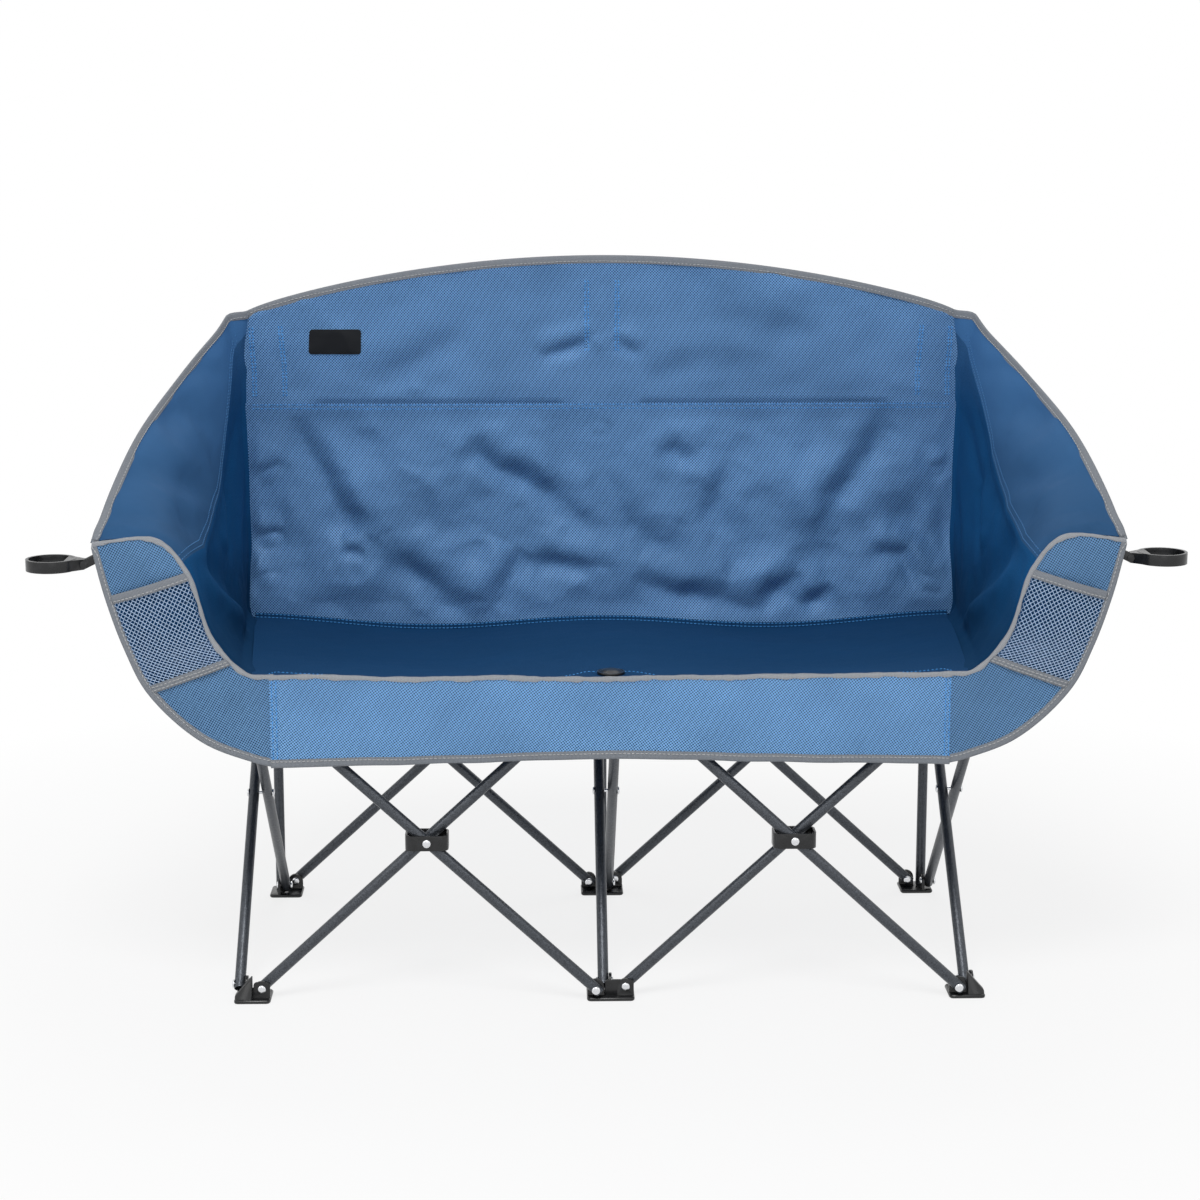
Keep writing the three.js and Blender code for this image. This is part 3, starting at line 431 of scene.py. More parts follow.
def arm_point(along, across):
    """Right arm band, along from the seam to the tip and across from the inner edge to the outer one."""
    return curve_point(ARM_INNER, along).lerp(curve_point(ARM_OUTER, along), across)


def net_point(up, across):
    """Right net pocket, from its lower hem up and from the arm's inner edge outwards."""
    inner = curve_point(ARM_INNER, lerp(*NET_INNER_SHARES, up))
    return inner.lerp(curve_point(ARM_OUTER, lerp(*NET_OUTER_SHARES, up)), across)


def wing_rear(up):
    """Right wing's rear edge, beside the back."""
    z = lerp(BACK_BOTTOM_Z, back_top(1) - WING_CORNER_DROP, up)
    return Vector((back_half(z) + CAD_CLOTH + CLOTH_GAP, back_depth(1, z), z))


def wing_front(up):
    """Right wing's front edge, along the arm band's inner edge."""
    spot = curve_point(ARM_INNER, lerp(WING_FRONT_SHARE, 1, up))
    return Vector((spot.x, SEAT_FRONT_Y, spot.z))


WING_CORNER = wing_rear(1)
ARM_TIP = wing_front(1)
WING_TOP = [
    Vector((*WING_CORNER.lerp(ARM_TIP, ahead).xy, lerp(WING_CORNER.z, ARM_TIP.z, fall)))
    for ahead, fall in WING_TOP_SHARES
] + [ARM_TIP]


def wing_base(forward, up):
    """Right wing between its four edges, forward from the back to the arm and up from the seat."""
    top = curve_point(WING_TOP, forward)
    bottom = wing_rear(0).lerp(wing_front(0), forward)
    ruled_up = bottom.lerp(top, up)
    ruled_along = wing_rear(up).lerp(wing_front(up), forward)
    corners = bottom.lerp(WING_CORNER.lerp(ARM_TIP, forward), up)
    return ruled_up + ruled_along - corners


# How the cloth moves: the body it rides on and, where the real cloth crumples, the axis, anchor and kept
# share of its flattening, which is not applied

def cloth_motion(panel):
    """Body, axis, anchor and kept share for a panel's name."""
    across, middle = (1, 0, 0), (0, 0, 0)
    if panel == "back":
        return "rear_centre", across, middle, BACK_KEEP
    if panel in ("seat_rear", "seat_front"):
        return panel, across, middle, SEAT_KEEP
    if panel == "band":
        return "front_centre_top", across, middle, BAND_KEEP
    side, kind = panel.split("_")
    if kind == "post":
        return "rear_centre" if side == "middle" else f"rear_{side}_foot", None, None, None
    sign = SIDES[side]
    return f"rear_{side}_foot", (sign * WING_FOLD_LEAN, -1, 0), (sign * POST.x, POST.y, 0), WING_KEEP


def attach_cloth(obj, panel):
    """Makes a piece of cloth, tape or thread ride rigidly on its panel's body; an arm's piece is only baked
    in place.
    """
    side, _, kind = panel.partition("_")
    if kind == "arm":
        # ARM_BEND gives where the arm would bend between the band on the corner bracket and the tube; here
        # its pieces are only baked in place.
        start, end = (Vector((SIDES[side] * x, BAND_Y, z)) for x, z in ARM_BEND)
        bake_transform(obj)
        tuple(start)
        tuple(end)
        return
    body, axis, anchor, keep = cloth_motion(panel)
    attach(obj, body)
    if axis:
        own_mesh(obj)
        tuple(axis)
        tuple(anchor)


# Blender tools

def select_only(obj):
    """Leaves obj alone selected and active, in object mode."""
    if bpy.context.object and bpy.context.object.mode != "OBJECT":
        bpy.ops.object.mode_set(mode="OBJECT")
    bpy.ops.object.select_all(action="DESELECT")
    if obj:
        obj.select_set(True)
        bpy.context.view_layer.objects.active = obj


def apply_modifier(obj, kind, **settings):
    """Adds a modifier with these settings and applies it."""
    select_only(obj)
    modifier = obj.modifiers.new(kind.title(), kind)
    for name, value in settings.items():
        setattr(modifier, name, value)
    bpy.ops.object.modifier_apply(modifier=modifier.name)


def smooth(obj, degrees=40):
    """Smooth shading, with edges sharper than this left hard."""
    select_only(obj)
    bpy.ops.object.shade_smooth_by_angle(angle=math.radians(degrees))


def new_object(name, mesh):
    """An object at the origin for a finished mesh."""
    obj = bpy.data.objects.new(name, mesh)
    bpy.context.scene.collection.objects.link(obj)
    return obj


def placed_copy(source, name, matrix):
    """A copy of a piece with its own mesh, moved by matrix within that mesh."""
    mesh = source.data.copy()
    mesh.transform(matrix)
    if matrix.determinant() < 0:
        mesh.flip_normals()
    mesh.name = name
    return new_object(name, mesh)


def settle(obj):
    """Puts a primitive's place, turn and size into its mesh."""
    select_only(obj)
    bpy.ops.object.transform_apply(location=True, rotation=True, scale=True)


def start_primitive(add, name, **settings):
    """Adds a primitive with nothing else selected, and names it."""
    select_only(None)
    add(**settings)
    obj = bpy.context.object
    obj.name = name
    obj.data.name = name
    return obj


def edit_select(obj, faces=None, edges=None):
    """Enters edit mode with the faces or edges selected that a test picks."""
    select_only(obj)
    bpy.ops.object.mode_set(mode="EDIT")
    mesh = bmesh.from_edit_mesh(obj.data)
    bpy.ops.mesh.select_all(action="DESELECT")
    if faces:
        bpy.ops.mesh.select_mode(type="FACE")
        for face in mesh.faces:
            face.select_set(faces(face))
    if edges:
        bpy.ops.mesh.select_mode(type="EDGE")
        for edge in mesh.edges:
            edge.select_set(edges(edge))
    bmesh.update_edit_mesh(obj.data)


def leave_edit():
    bpy.ops.object.mode_set(mode="OBJECT")


def turn_to(start, stop):
    """Matrix that takes the unit Z line from the origin onto start and towards stop."""
    along = (stop - start).normalized()
    return Matrix.Translation(start) @ along.to_track_quat("Z", "Y").to_matrix().to_4x4()


# Cloth, tape and thread in mesh code

def cloth_sheet(name, point, columns, rows, material, thickness=None, upright=False):
    """A sheet of cloth through point(u, v). Its UV map is in metres, along its rows and columns or,
    upright, along x and z."""
    grid = [[point(i / columns, j / rows) for i in range(columns + 1)] for j in range(rows + 1)]
    middle = columns // 2
    run = [[0.0] * (columns + 1) for _ in range(rows + 1)]
    drop = [[0.0] * (columns + 1) for _ in range(rows + 1)]
    for j in range(rows + 1):
        for i in range(middle + 1, columns + 1):
            run[j][i] = run[j][i - 1] + (grid[j][i] - grid[j][i - 1]).length
        for i in range(middle - 1, -1, -1):
            run[j][i] = run[j][i + 1] - (grid[j][i] - grid[j][i + 1]).length
    for j in range(1, rows + 1):
        for i in range(columns + 1):
            drop[j][i] = drop[j - 1][i] + (grid[j][i] - grid[j - 1][i]).length
    corner = [[j * (columns + 1) + i for i in range(columns + 1)] for j in range(rows + 1)]
    faces = []
    for j in range(rows):
        for i in range(columns):
            faces.append((corner[j][i], corner[j][i + 1], corner[j + 1][i + 1], corner[j + 1][i]))
    mesh = bpy.data.meshes.new(name)
    mesh.from_pydata([spot for row in grid for spot in row], [], faces)
    layer = mesh.uv_layers.new(name="weave")
    flat = [(run[j][i], drop[j][i]) for j in range(rows + 1) for i in range(columns + 1)]
    if upright:
        flat = [(spot.x, spot.z) for row in grid for spot in row]
    for loop in mesh.loops:
        layer.data[loop.index].uv = flat[loop.vertex_index]
    obj = new_object(name, mesh)
    obj["width"] = max(row[-1] - row[0] for row in run)
    obj["length"] = max(drop[-1])
    obj["area"] = sum(face.area for face in mesh.polygons)
    mesh.materials.append(material)
    apply_modifier(obj, "SOLIDIFY", thickness=thickness or sizes().cloth, offset=0, use_even_offset=True)
    smooth(obj, 50)
    return obj


def declare_cloth(obj):
    """Works out a piece's cloth area, the smaller of its measured area and its width times its length, and
    does nothing more with it.
    """
    area = min(obj["area"], obj["width"] * obj["length"])


class Path:
    """A line over cloth: points with the cloth's outward direction at each."""

    def __init__(self, spots, normals):
        self.spots = spots
        self.normals = normals
        self.reach = [0.0]
        for a, b in zip(spots, spots[1:]):
            self.reach.append(self.reach[-1] + (b - a).length)

    def at(self, distance):
        """Point, direction and outward direction at a distance along the line."""
        index = 0
        while index < len(self.reach) - 2 and self.reach[index + 1] < distance:
            index += 1
        span = max(1e-9, self.reach[index + 1] - self.reach[index])
        share = clamp((distance - self.reach[index]) / span)
        spot = self.spots[index].lerp(self.spots[index + 1], share)
        along = (self.spots[index + 1] - self.spots[index]).normalized()
        normal = self.normals[index].lerp(self.normals[index + 1], share).normalized()
        return spot, along, normal


def surface_path(point, track, towards, count=90, lift=0.0):
    """A path over point(u, v) through track(share), which gives u and v."""
    spots, normals = [], []
    for k in range(count + 1):
        u, v = track(k / count)
        normal = surface_normal(point, u, v, towards)
        spots.append(point(u, v) + normal * lift)
        normals.append(normal)
    return Path(spots, normals)


def stitch_shape(spot, along, normal, length, radius):
    """Corners and faces of one stitch: thread that rises out of the cloth and goes back in."""
    side = along.cross(normal).normalized()
    corners, faces = [], []
    rings = ((-0.5, -0.6, 0.55), (0.0, 0.35, 1.0), (0.5, -0.6, 0.55))
    for place, height, size in rings:
        centre = spot + along * (length * place) + normal * (radius * height)
        for k in range(5):
            angle = math.tau * k / 5
            corners.append(centre + (side * math.cos(angle) + normal * math.sin(angle)) * radius * size)
    for ring in range(2):
        for k in range(5):
            a, b = ring * 5 + k, ring * 5 + (k + 1) % 5
            faces.append((a, a + 5, b + 5, b))
    faces.append((0, 1, 2, 3, 4))
    faces.append((14, 13, 12, 11, 10))
    return corners, faces


def sew(name, rows, material, radius=None, zigzag=0.0):
    """One mesh with the stitches of all these paths. Zigzag turns every other stitch, in radians."""
    length, gap = sizes().stitch, sizes().stitch_gap
    radius = radius or sizes().thread
    corners, faces = [], []
    for path in rows:
        pitch = gap + length * (math.cos(zigzag) if zigzag else 1)
        count = max(1, int(path.reach[-1] / pitch))
        for k in range(count):
            spot, along, normal = path.at((k + 0.5) * path.reach[-1] / count)
            if zigzag:
                along = Matrix.Rotation(zigzag if k % 2 else -zigzag, 3, normal) @ along
            made, sides = stitch_shape(spot, along, normal, length, radius)
            faces += [tuple(index + len(corners) for index in side) for side in sides]
            corners += made
    mesh = bpy.data.meshes.new(name)
    mesh.from_pydata(corners, [], faces)
    mesh.materials.append(material)
    obj = new_object(name, mesh)
    select_only(obj)
    bpy.ops.object.shade_smooth()
    return obj


def edge_tape(name, edge, inward, normals, width, material, puckers=0.0, thick=TAPE_THICK):
    """Tape folded over an edge of the cloth, given as points, directions inward and normals.
    Puckers is the share by which its section wanders."""
    core = sizes().cloth / 2
    outer = core + thick
    section = [
        (width, core), (width, outer * 0.85), (width * 0.6, outer * 1.06), (width * 0.2, outer * 1.06),
        (-thick * 0.4, outer * 0.75), (-thick, 0), (-thick * 0.4, -outer * 0.75),
        (width * 0.2, -outer * 1.06), (width * 0.6, -outer * 1.06), (width, -outer * 0.85), (width, -core),
    ]
    around = len(section)
    lengths = [0.0]
    for a, b in zip(edge, edge[1:]):
        lengths.append(lengths[-1] + (b - a).length)
    corners, faces = [], []
    for spot, into, normal, run in zip(edge, inward, normals, lengths):
        pucker = 1 + puckers * noise.noise(Vector((run * 85.0, 1.7, 0.3)))
        corners += [spot + (into * deep + normal * high) * pucker for deep, high in section]
    for k in range(len(edge) - 1):
        for s in range(around):
            a, b = k * around + s, k * around + (s + 1) % around
            faces.append((a, b, b + around, a + around))
    faces.append(tuple(range(around - 1, -1, -1)))
    faces.append(tuple(range(len(corners) - around, len(corners))))
    mesh = bpy.data.meshes.new(name)
    mesh.from_pydata(corners, [], faces)
    layer = mesh.uv_layers.new(name="weave")
    girth = [0.0]
    for a, b in zip(section, section[1:]):
        girth.append(girth[-1] + math.dist(a, b))
    for loop in mesh.loops:
        ring, place = divmod(loop.vertex_index, around)
        layer.data[loop.index].uv = (lengths[ring], girth[place])
    mesh.materials.append(material)
    obj = new_object(name, mesh)
    select_only(obj)
    bpy.ops.object.mode_set(mode="EDIT")
    bpy.ops.mesh.select_all(action="SELECT")
    bpy.ops.mesh.normals_make_consistent(inside=False)
    leave_edit()
    smooth(obj, 60)
    return obj


def edge_rows(point, track, inward_track, towards, count):
    """Edge of point(u, v) along track: its points, the directions into the cloth and the cloth's normals."""
    edge, inward, normals = [], [], []
    for k in range(count + 1):
        share = k / count
        u, v = track(share)
        spot = point(u, v)
        into = point(*inward_track(share)) - spot
        normal = surface_normal(point, u, v, towards)
        into = (into - normal * into.dot(normal)).normalized()
        edge.append(spot)
        inward.append(into)
        normals.append(normal)
    return edge, inward, normals


def surface_tape(
        name, point, track, inward_track, towards, width, material, count=120, puckers=0.0, thick=TAPE_THICK):
    """Tape along an edge of point(u, v): track gives the edge, inward_track a spot a little inside it."""
    rows = edge_rows(point, track, inward_track, towards, count)
    return edge_tape(name, *rows, width, material, puckers, thick)


# Finishes

class Nodes:
    """The node tree of a new material or world, with short calls to add and join nodes."""

    def __init__(self, name, world=False):
        self.made = bpy.data.worlds.new(name) if world else bpy.data.materials.new(name)
        self.made.use_nodes = True
        self.tree = self.made.node_tree
        self.shader = self.tree.nodes["Background" if world else "Principled BSDF"]

    def add(self, kind, inputs=None, **settings):
        """A node with its settings, its constant inputs and its links from other sockets."""
        node = self.tree.nodes.new(f"ShaderNode{kind}")
        for name, value in settings.items():
            setattr(node, name, value)
        for name, value in (inputs or {}).items():
            self.feed(node.inputs[name], value)
        return node

    def feed(self, socket, value):
        """Links a socket to another one, or sets its constant value."""
        if isinstance(value, bpy.types.NodeSocket):
            self.tree.links.new(value, socket)
        else:
            socket.default_value = value

    def set(self, **inputs):
        """Inputs of the shader, with underscores for spaces."""
        for name, value in inputs.items():
            self.feed(self.shader.inputs[name.replace("_", " ")], value)

    def spots(self, kind="Object"):
        """Object coordinates or the piece's own UV map."""
        return self.add("TexCoord").outputs[kind]

    def turned(self, vector, degrees):
        """Coordinates turned about Z."""
        inputs = {"Vector": vector, "Rotation": (0, 0, math.radians(degrees))}
        return self.add("Mapping", inputs).outputs["Vector"]

    def waves(self, vector, pitch, direction):
        """Bands with this pitch, from 0 to 1."""
        inputs = {"Vector": vector, "Scale": math.tau / 20 / pitch, "Distortion": 0.0}
        return self.add("TexWave", inputs, bands_direction=direction).outputs["Fac"]

    def noise(self, vector, scale, detail=3.0, rough=0.55):
        """Soft noise, from 0 to 1."""
        inputs = {"Vector": vector, "Scale": scale, "Detail": detail, "Roughness": rough}
        return self.add("TexNoise", inputs).outputs["Fac"]

    def maths(self, operation, a, b):
        """Two numbers joined by an operation."""
        node = self.add("Math", operation=operation)
        self.feed(node.inputs[0], a)
        self.feed(node.inputs[1], b)
        return node.outputs["Value"]

    def ramp(self, factor, low, high, start=0.0, stop=1.0):
        """A number moved from the range start to stop into the range low to high."""
        inputs = {"Value": factor, "From Min": start, "From Max": stop, "To Min": low, "To Max": high}
        return self.add("MapRange", inputs).outputs["Result"]

    def blend_colours(self, factor, a, b):
        """Two colours mixed by a factor."""
        node = self.add("Mix", data_type="RGBA")
        self.feed(node.inputs[0], factor)
        self.feed(node.inputs[6], a)
        self.feed(node.inputs[7], b)
        return node.outputs[2]

    def shades(self, factor, base, first, second):
        """Two shades of a colour of the scene, mixed by a factor."""
        return self.blend_colours(factor, shaded(colour(base), first), shaded(colour(base), second))

    def bump(self, height, strength, distance):
        """A normal from a height."""
        inputs = {"Height": height, "Strength": strength, "Distance": distance}
        self.set(Normal=self.add("Bump", inputs).outputs["Normal"])


def colour(name):
    """A colour of the scene with full alpha."""
    return (*getattr(colours(), name), 1)


def shaded(rgba, factor):
    """A colour made darker or lighter."""
    return (*(channel * factor for channel in rgba[:3]), 1)


def two_tone_cloth(name, light, dark, pitch, lean, tone=1.0):
    """Satin cloth with dark dots between light threads, slanted a little, and faded unevenly."""
    nodes = Nodes(name)
    flat = nodes.spots("UV")
    slanted = nodes.turned(flat, 45 + lean)
    dots = nodes.maths("MULTIPLY", nodes.waves(slanted, pitch, "X"), nodes.waves(slanted, pitch, "Y"))
    twill = nodes.waves(nodes.turned(flat, 30), pitch * 3.1, "X")
    share = nodes.maths("ADD", nodes.ramp(dots, 0, 0.94, 0.08, 0.32), nodes.ramp(twill, 0, 0.06))
    pale, deep = shaded(colour(light), tone), shaded(colour(dark), tone)
    woven = nodes.blend_colours(share, pale, deep)
    wear_and_shade_noise = nodes.noise(nodes.spots(), 7.0, 4.0, 0.6)
    nodes.set(
        Base_Color=nodes.blend_colours(nodes.ramp(wear_and_shade_noise, 0, 0.22, 0.4, 0.75), woven, deep),
        Roughness=nodes.ramp(dots, 0.42, 0.62), Specular_IOR_Level=0.5, Specular_Tint=(0.45, 0.68, 1, 1))
    nodes.bump(dots, 0.3, 0.0005)
    return nodes.made


NAVY_GLOSS = (0.3, 0.6, 1, 1)


def plain_cloth(name, base, pitch, fade=0.0):
    """Plain weave in one colour with a slight slub. Fade is the share of painted light: lighter towards the
    top of the wings, painted shade lower down.
    """
    nodes = Nodes(name)
    flat = nodes.spots("UV")
    weave = nodes.maths("MULTIPLY", nodes.waves(flat, pitch, "X"), nodes.waves(flat, pitch, "Y"))
    slub = nodes.noise(flat, 420.0, 2.0)
    tone = nodes.maths("ADD", nodes.ramp(weave, 0, 0.4), nodes.ramp(slub, 0, 0.6, 0.3, 0.7))
    woven = nodes.shades(tone, base, 1.22, 0.74)
    wear_and_shade_noise = nodes.noise(nodes.spots(), 6.0, 4.0, 0.6)
    # Painted light and shade: by the share fade, lighter above about z 0.92 for light from above, and darker
    # below about z 0.66 for shade under the arm.
    if fade:
        height = nodes.add("SeparateXYZ", {"Vector": nodes.spots()}).outputs["Z"]
        woven = nodes.shades(nodes.ramp(height, 0, 1, 0.66, 0.92), base, 1 - fade, 1 + fade)
        woven = nodes.blend_colours(nodes.ramp(tone, 0, 0.35), woven, shaded(colour(base), 0.74))
    worn_share = nodes.ramp(wear_and_shade_noise, 0, 0.35, 0.4, 0.75)
    nodes.set(
        Base_Color=nodes.blend_colours(worn_share, woven, shaded(colour(base), 1.3)),
        Roughness=nodes.ramp(weave, 0.66, 0.82), Specular_IOR_Level=0.14, Specular_Tint=NAVY_GLOSS)
    nodes.bump(weave, 0.3, 0.0004)
    return nodes.made


def gusset_cloth_painted_shade():
    """Wing cloth with painted shade: the wing's tone at the top, the darker gusset navy lower down and a
    painted shadow at the foot.
    """
    nodes = Nodes("gusset_cloth_painted_shade")
    flat, place = nodes.spots("UV"), nodes.spots()
    height = nodes.add("SeparateXYZ", {"Vector": place}).outputs["Z"]
    slub = nodes.noise(flat, 420.0, 2.0)
    wear_and_shade_noise = nodes.noise(place, 6.0, 4.0, 0.6)
    # Noise that makes the edges of the painted shade uneven.
    uneven = nodes.maths("ADD", height, nodes.ramp(wear_and_shade_noise, -0.03, 0.03))
    # Painted shadow at the foot: 0.40 as bright below about z 0.53, the full gusset navy above about z 0.63.
    foot = nodes.shades(nodes.ramp(uneven, 0, 1, 0.53, 0.63), "gusset", 0.40, 1)
    # Painted shade: the gusset navy below about z 0.80, nearly the wing's tone above about z 0.91.
    tone = nodes.blend_colours(nodes.ramp(uneven, 0, 0.9, 0.80, 0.91), foot, colour("wing"))
    dark_threads = nodes.ramp(slub, 0, 0.35, 0.3, 0.7)
    nodes.set(
        Base_Color=nodes.blend_colours(dark_threads, tone, shaded(colour("seat"), 0.7)),
        Roughness=nodes.ramp(slub, 0.62, 0.80), Specular_IOR_Level=0.14, Specular_Tint=NAVY_GLOSS)
    nodes.bump(slub, 0.2, 0.0003)
    return nodes.made


def tape_cloth(name, base):
    """Grey heather tape with fine ribs across it."""
    nodes = Nodes(name)
    flat = nodes.spots("UV")
    ribs = nodes.waves(flat, 0.0019, "X")
    fleck = nodes.noise(flat, 900.0, 2.0, 0.7)
    tone = nodes.maths("ADD", nodes.ramp(ribs, 0, 0.45), nodes.ramp(fleck, 0, 0.6, 0.3, 0.7))
    nodes.set(
        Base_Color=nodes.shades(tone, base, 1.4, 0.62),
        Roughness=nodes.ramp(fleck, 0.75, 0.92), Sheen_Weight=0.1, Specular_IOR_Level=0.25)
    nodes.bump(ribs, 0.4, 0.0004)
    return nodes.made


def sewing_thread(name, base, tone=1.0):
    """Twisted thread."""
    nodes = Nodes(name)
    twist = nodes.waves(nodes.turned(nodes.spots(), 35), 0.0011, "X")
    nodes.set(
        Base_Color=nodes.shades(twist, base, 1.1 * tone, 0.8 * tone),
        Roughness=nodes.ramp(twist, 0.5, 0.65), Sheen_Weight=0.1)
    return nodes.made


def net_cord():
    """Knitted cord of the pocket nets."""
    nodes = Nodes("net_cord")
    fleck = nodes.noise(nodes.spots(), 700.0, 2.0)
    nodes.set(
        Base_Color=nodes.shades(fleck, "net", 1.5, 0.6),
        Roughness=nodes.ramp(fleck, 0.6, 0.85))
    nodes.bump(fleck, 0.3, 0.0003)
    return nodes.made


def powder_coat():
    """Dark grey powder coat with a hammered skin."""
    nodes = Nodes("powder_coat")
    place = nodes.spots()
    skin = {"Vector": place, "Scale": 380.0}
    cells = nodes.add("TexVoronoi", skin, feature="SMOOTH_F1").outputs["Distance"]
    fleck = nodes.noise(place, 900.0, 2.0, 0.7)
    tone = nodes.maths("MULTIPLY", nodes.ramp(fleck, 1, 0, 0.42, 0.62), nodes.ramp(cells, 1, 0.2))
    nodes.set(
        Base_Color=nodes.shades(tone, "tube", 3.4, 0.7),
        Metallic=0.45, Roughness=nodes.ramp(fleck, 0.24, 0.42), Specular_IOR_Level=0.42)
    nodes.bump(cells, 0.5, 0.0008)
    return nodes.made


def moulded_plastic():
    """Black plastic with a spark-eroded grain and paler rubbed spots."""
    nodes = Nodes("moulded_plastic")
    place = nodes.spots()
    grain = nodes.noise(place, 1600.0, 2.0)
    rubbed = nodes.noise(place, 60.0, 4.0, 0.65)
    nodes.set(
        Base_Color=nodes.shades(nodes.ramp(rubbed, 0, 1, 0.45, 0.8), "plastic", 0.9, 2.2),
        Roughness=nodes.ramp(rubbed, 0.20, 0.38), Specular_IOR_Level=0.45)
    nodes.bump(grain, 0.15, 0.0002)
    return nodes.made


def zinc_plate():
    """Bright zinc with faint scuffs."""
    nodes = Nodes("zinc_plate")
    scuff = nodes.noise(nodes.spots(), 800.0, 4.0, 0.7)
    nodes.set(
        Base_Color=nodes.shades(scuff, "zinc", 1.15, 0.75),
        Metallic=1.0, Roughness=nodes.ramp(scuff, 0.18, 0.34))
    return nodes.made


def patch_cloth():
    """Black woven patch without any mark."""
    nodes = Nodes("patch_cloth")
    place = nodes.spots()
    weave = nodes.maths("MULTIPLY", nodes.waves(place, 0.0012, "X"), nodes.waves(place, 0.0012, "Z"))
    nodes.set(
        Base_Color=nodes.shades(weave, "patch", 1.6, 0.6),
        Roughness=nodes.ramp(weave, 0.6, 0.8), Specular_IOR_Level=0.2)
    nodes.bump(weave, 0.35, 0.0003)
    return nodes.made


FINISHES = {
    "back": lambda: two_tone_cloth("back_cloth", "back_light", "back_dark", sizes().weave, 0),
    "band": lambda: two_tone_cloth("band_cloth", "band_light", "band_dark", sizes().weave, 8),
    "arm": lambda: two_tone_cloth("arm_cloth", "band_light", "band_dark", sizes().weave, -14, 0.68),
    # The wing cloth carries painted light, 0.42 lighter at the top, and painted shade, 0.42 darker lower
    # down.
    "wing": lambda: plain_cloth("wing_cloth", "wing", sizes().plain_weave, 0.42),
    "seat": lambda: plain_cloth("seat_cloth", "seat", sizes().plain_weave),
    "gusset": gusset_cloth_painted_shade,
    "tape": lambda: tape_cloth("grey_tape", "tape"),
    "lip_tape": lambda: tape_cloth("pale_tape", "lip_tape"),
    "thread": lambda: sewing_thread("blue_thread", "thread"),
    # The wing seams' thread is the blue thread in painted shade, 0.55 as bright.
    "painted_shade_thread": lambda: sewing_thread("blue_thread_painted_shade", "thread", 0.55),
    "pale_thread": lambda: sewing_thread("pale_thread", "pale_thread"),
    "net": net_cord,
    "tube": powder_coat,
    "plastic": moulded_plastic,
    "zinc": zinc_plate,
    "patch": patch_cloth,
}
MADE_FINISHES = {}


def finish(name):
    """A finish of the loveseat, made the first time that it is asked for."""
    if name not in MADE_FINISHES:
        MADE_FINISHES[name] = FINISHES[name]()
    return MADE_FINISHES[name]


def paint(obj, name):
    """Gives a piece one finish all over."""
    obj.data.materials.clear()
    obj.data.materials.append(finish(name))


# Rigid pieces

PLANES = ("front", "rear")
PLACES = ("left", "middle", "right")
SPOTS = ("left", "centre", "right")
BAYS = [(plane, bay) for plane in PLANES for bay in SIDES]
PAIR_TUBES = [(f"{plane}_{bay}_{lean}_tube", "y") for plane, bay in BAYS for lean in ("outward", "inward")]
PAIR_TUBES += [(f"{side}_side_{lean}_tube", "x") for side in PLACES for lean in ("rearward", "forward")]
POSTS = [f"{side}_back_post" for side in PLACES]
FITTINGS = (
    [f"{plane}_{spot}_foot" for plane in PLANES for spot in SPOTS]
    + [f"front_{spot}_top_bracket" for spot in SPOTS]
    + [f"rear_{spot}_slider" for spot in SPOTS]
    + [f"{plane}_{bay}_hub" for plane, bay in BAYS]
    + [f"{bay}_arm_fitting" for bay in SIDES]
)
THROUGH_RIVETS = [(f"{plane}_{bay}_hub_rivet", "y") for plane, bay in BAYS]
THROUGH_RIVETS += [(f"{side}_side_rivet", "x") for side in PLACES]
ACROSS = {"x": Vector((1, 0, 0)), "y": Vector((0, 1, 0))}
TUBE_TAIL = 0.008
TUBE_WALL = 0.001
EAR_THICK = 0.004
PIN_RADIUS = 0.0025
HEAD_RADIUS = 0.0062
HEADS_HEIGHT = 0.005  # both heads of a rivet together
TUBE_BORE = 0.03
RIM_BREAK = 0.0005
EAR_REACH = 0.012  # from a foot's rivet to its ear's side
CENTRE_EAR_LEFT = -0.0085
EAR_Y = -0.2554
NECK_WIDTH = 0.0112
KNUCKLE_HEIGHT = 0.0144
KNUCKLE_RADIUS = 0.006
CUP_WALL = 0.004
NECK_SUNK = 0.62  # where the neck ends, as a share of the ring's radius from its centre
NECK_SPREAD = 1.4  # the neck's width there, as a share of the ring's radius
PAIR_ENDS = tube_axis("front_left_inward_tube")
PAIR_REACH = (PAIR_ENDS[1] - PAIR_ENDS[0]).length - 2 * TUBE_TAIL


def place_piece(obj, body, slot, *nodes):
    """Makes a rigid piece ride on a body and hides the CAD nodes that it stands for; the finish slot is not
    used.
    """
    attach(obj, body)
    if nodes:
        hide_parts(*nodes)


def discard(obj):
    """Removes a model that was only copied."""
    bpy.data.objects.remove(obj, do_unlink=True)


def joined_pieces(name, pieces):
    """Several pieces made one."""
    select_only(pieces[0])
    for piece in pieces[1:]:
        piece.select_set(True)
    bpy.ops.object.join()
    pieces[0].name = name
    pieces[0].data.name = name
    return pieces[0]


def round_edges(obj, width, segments, degrees):
    """Rounds the edges that are sharper than this."""
    apply_modifier(
        obj, "BEVEL", width=width, segments=segments, limit_method="ANGLE", angle_limit=math.radians(degrees),
        use_clamp_overlap=True)


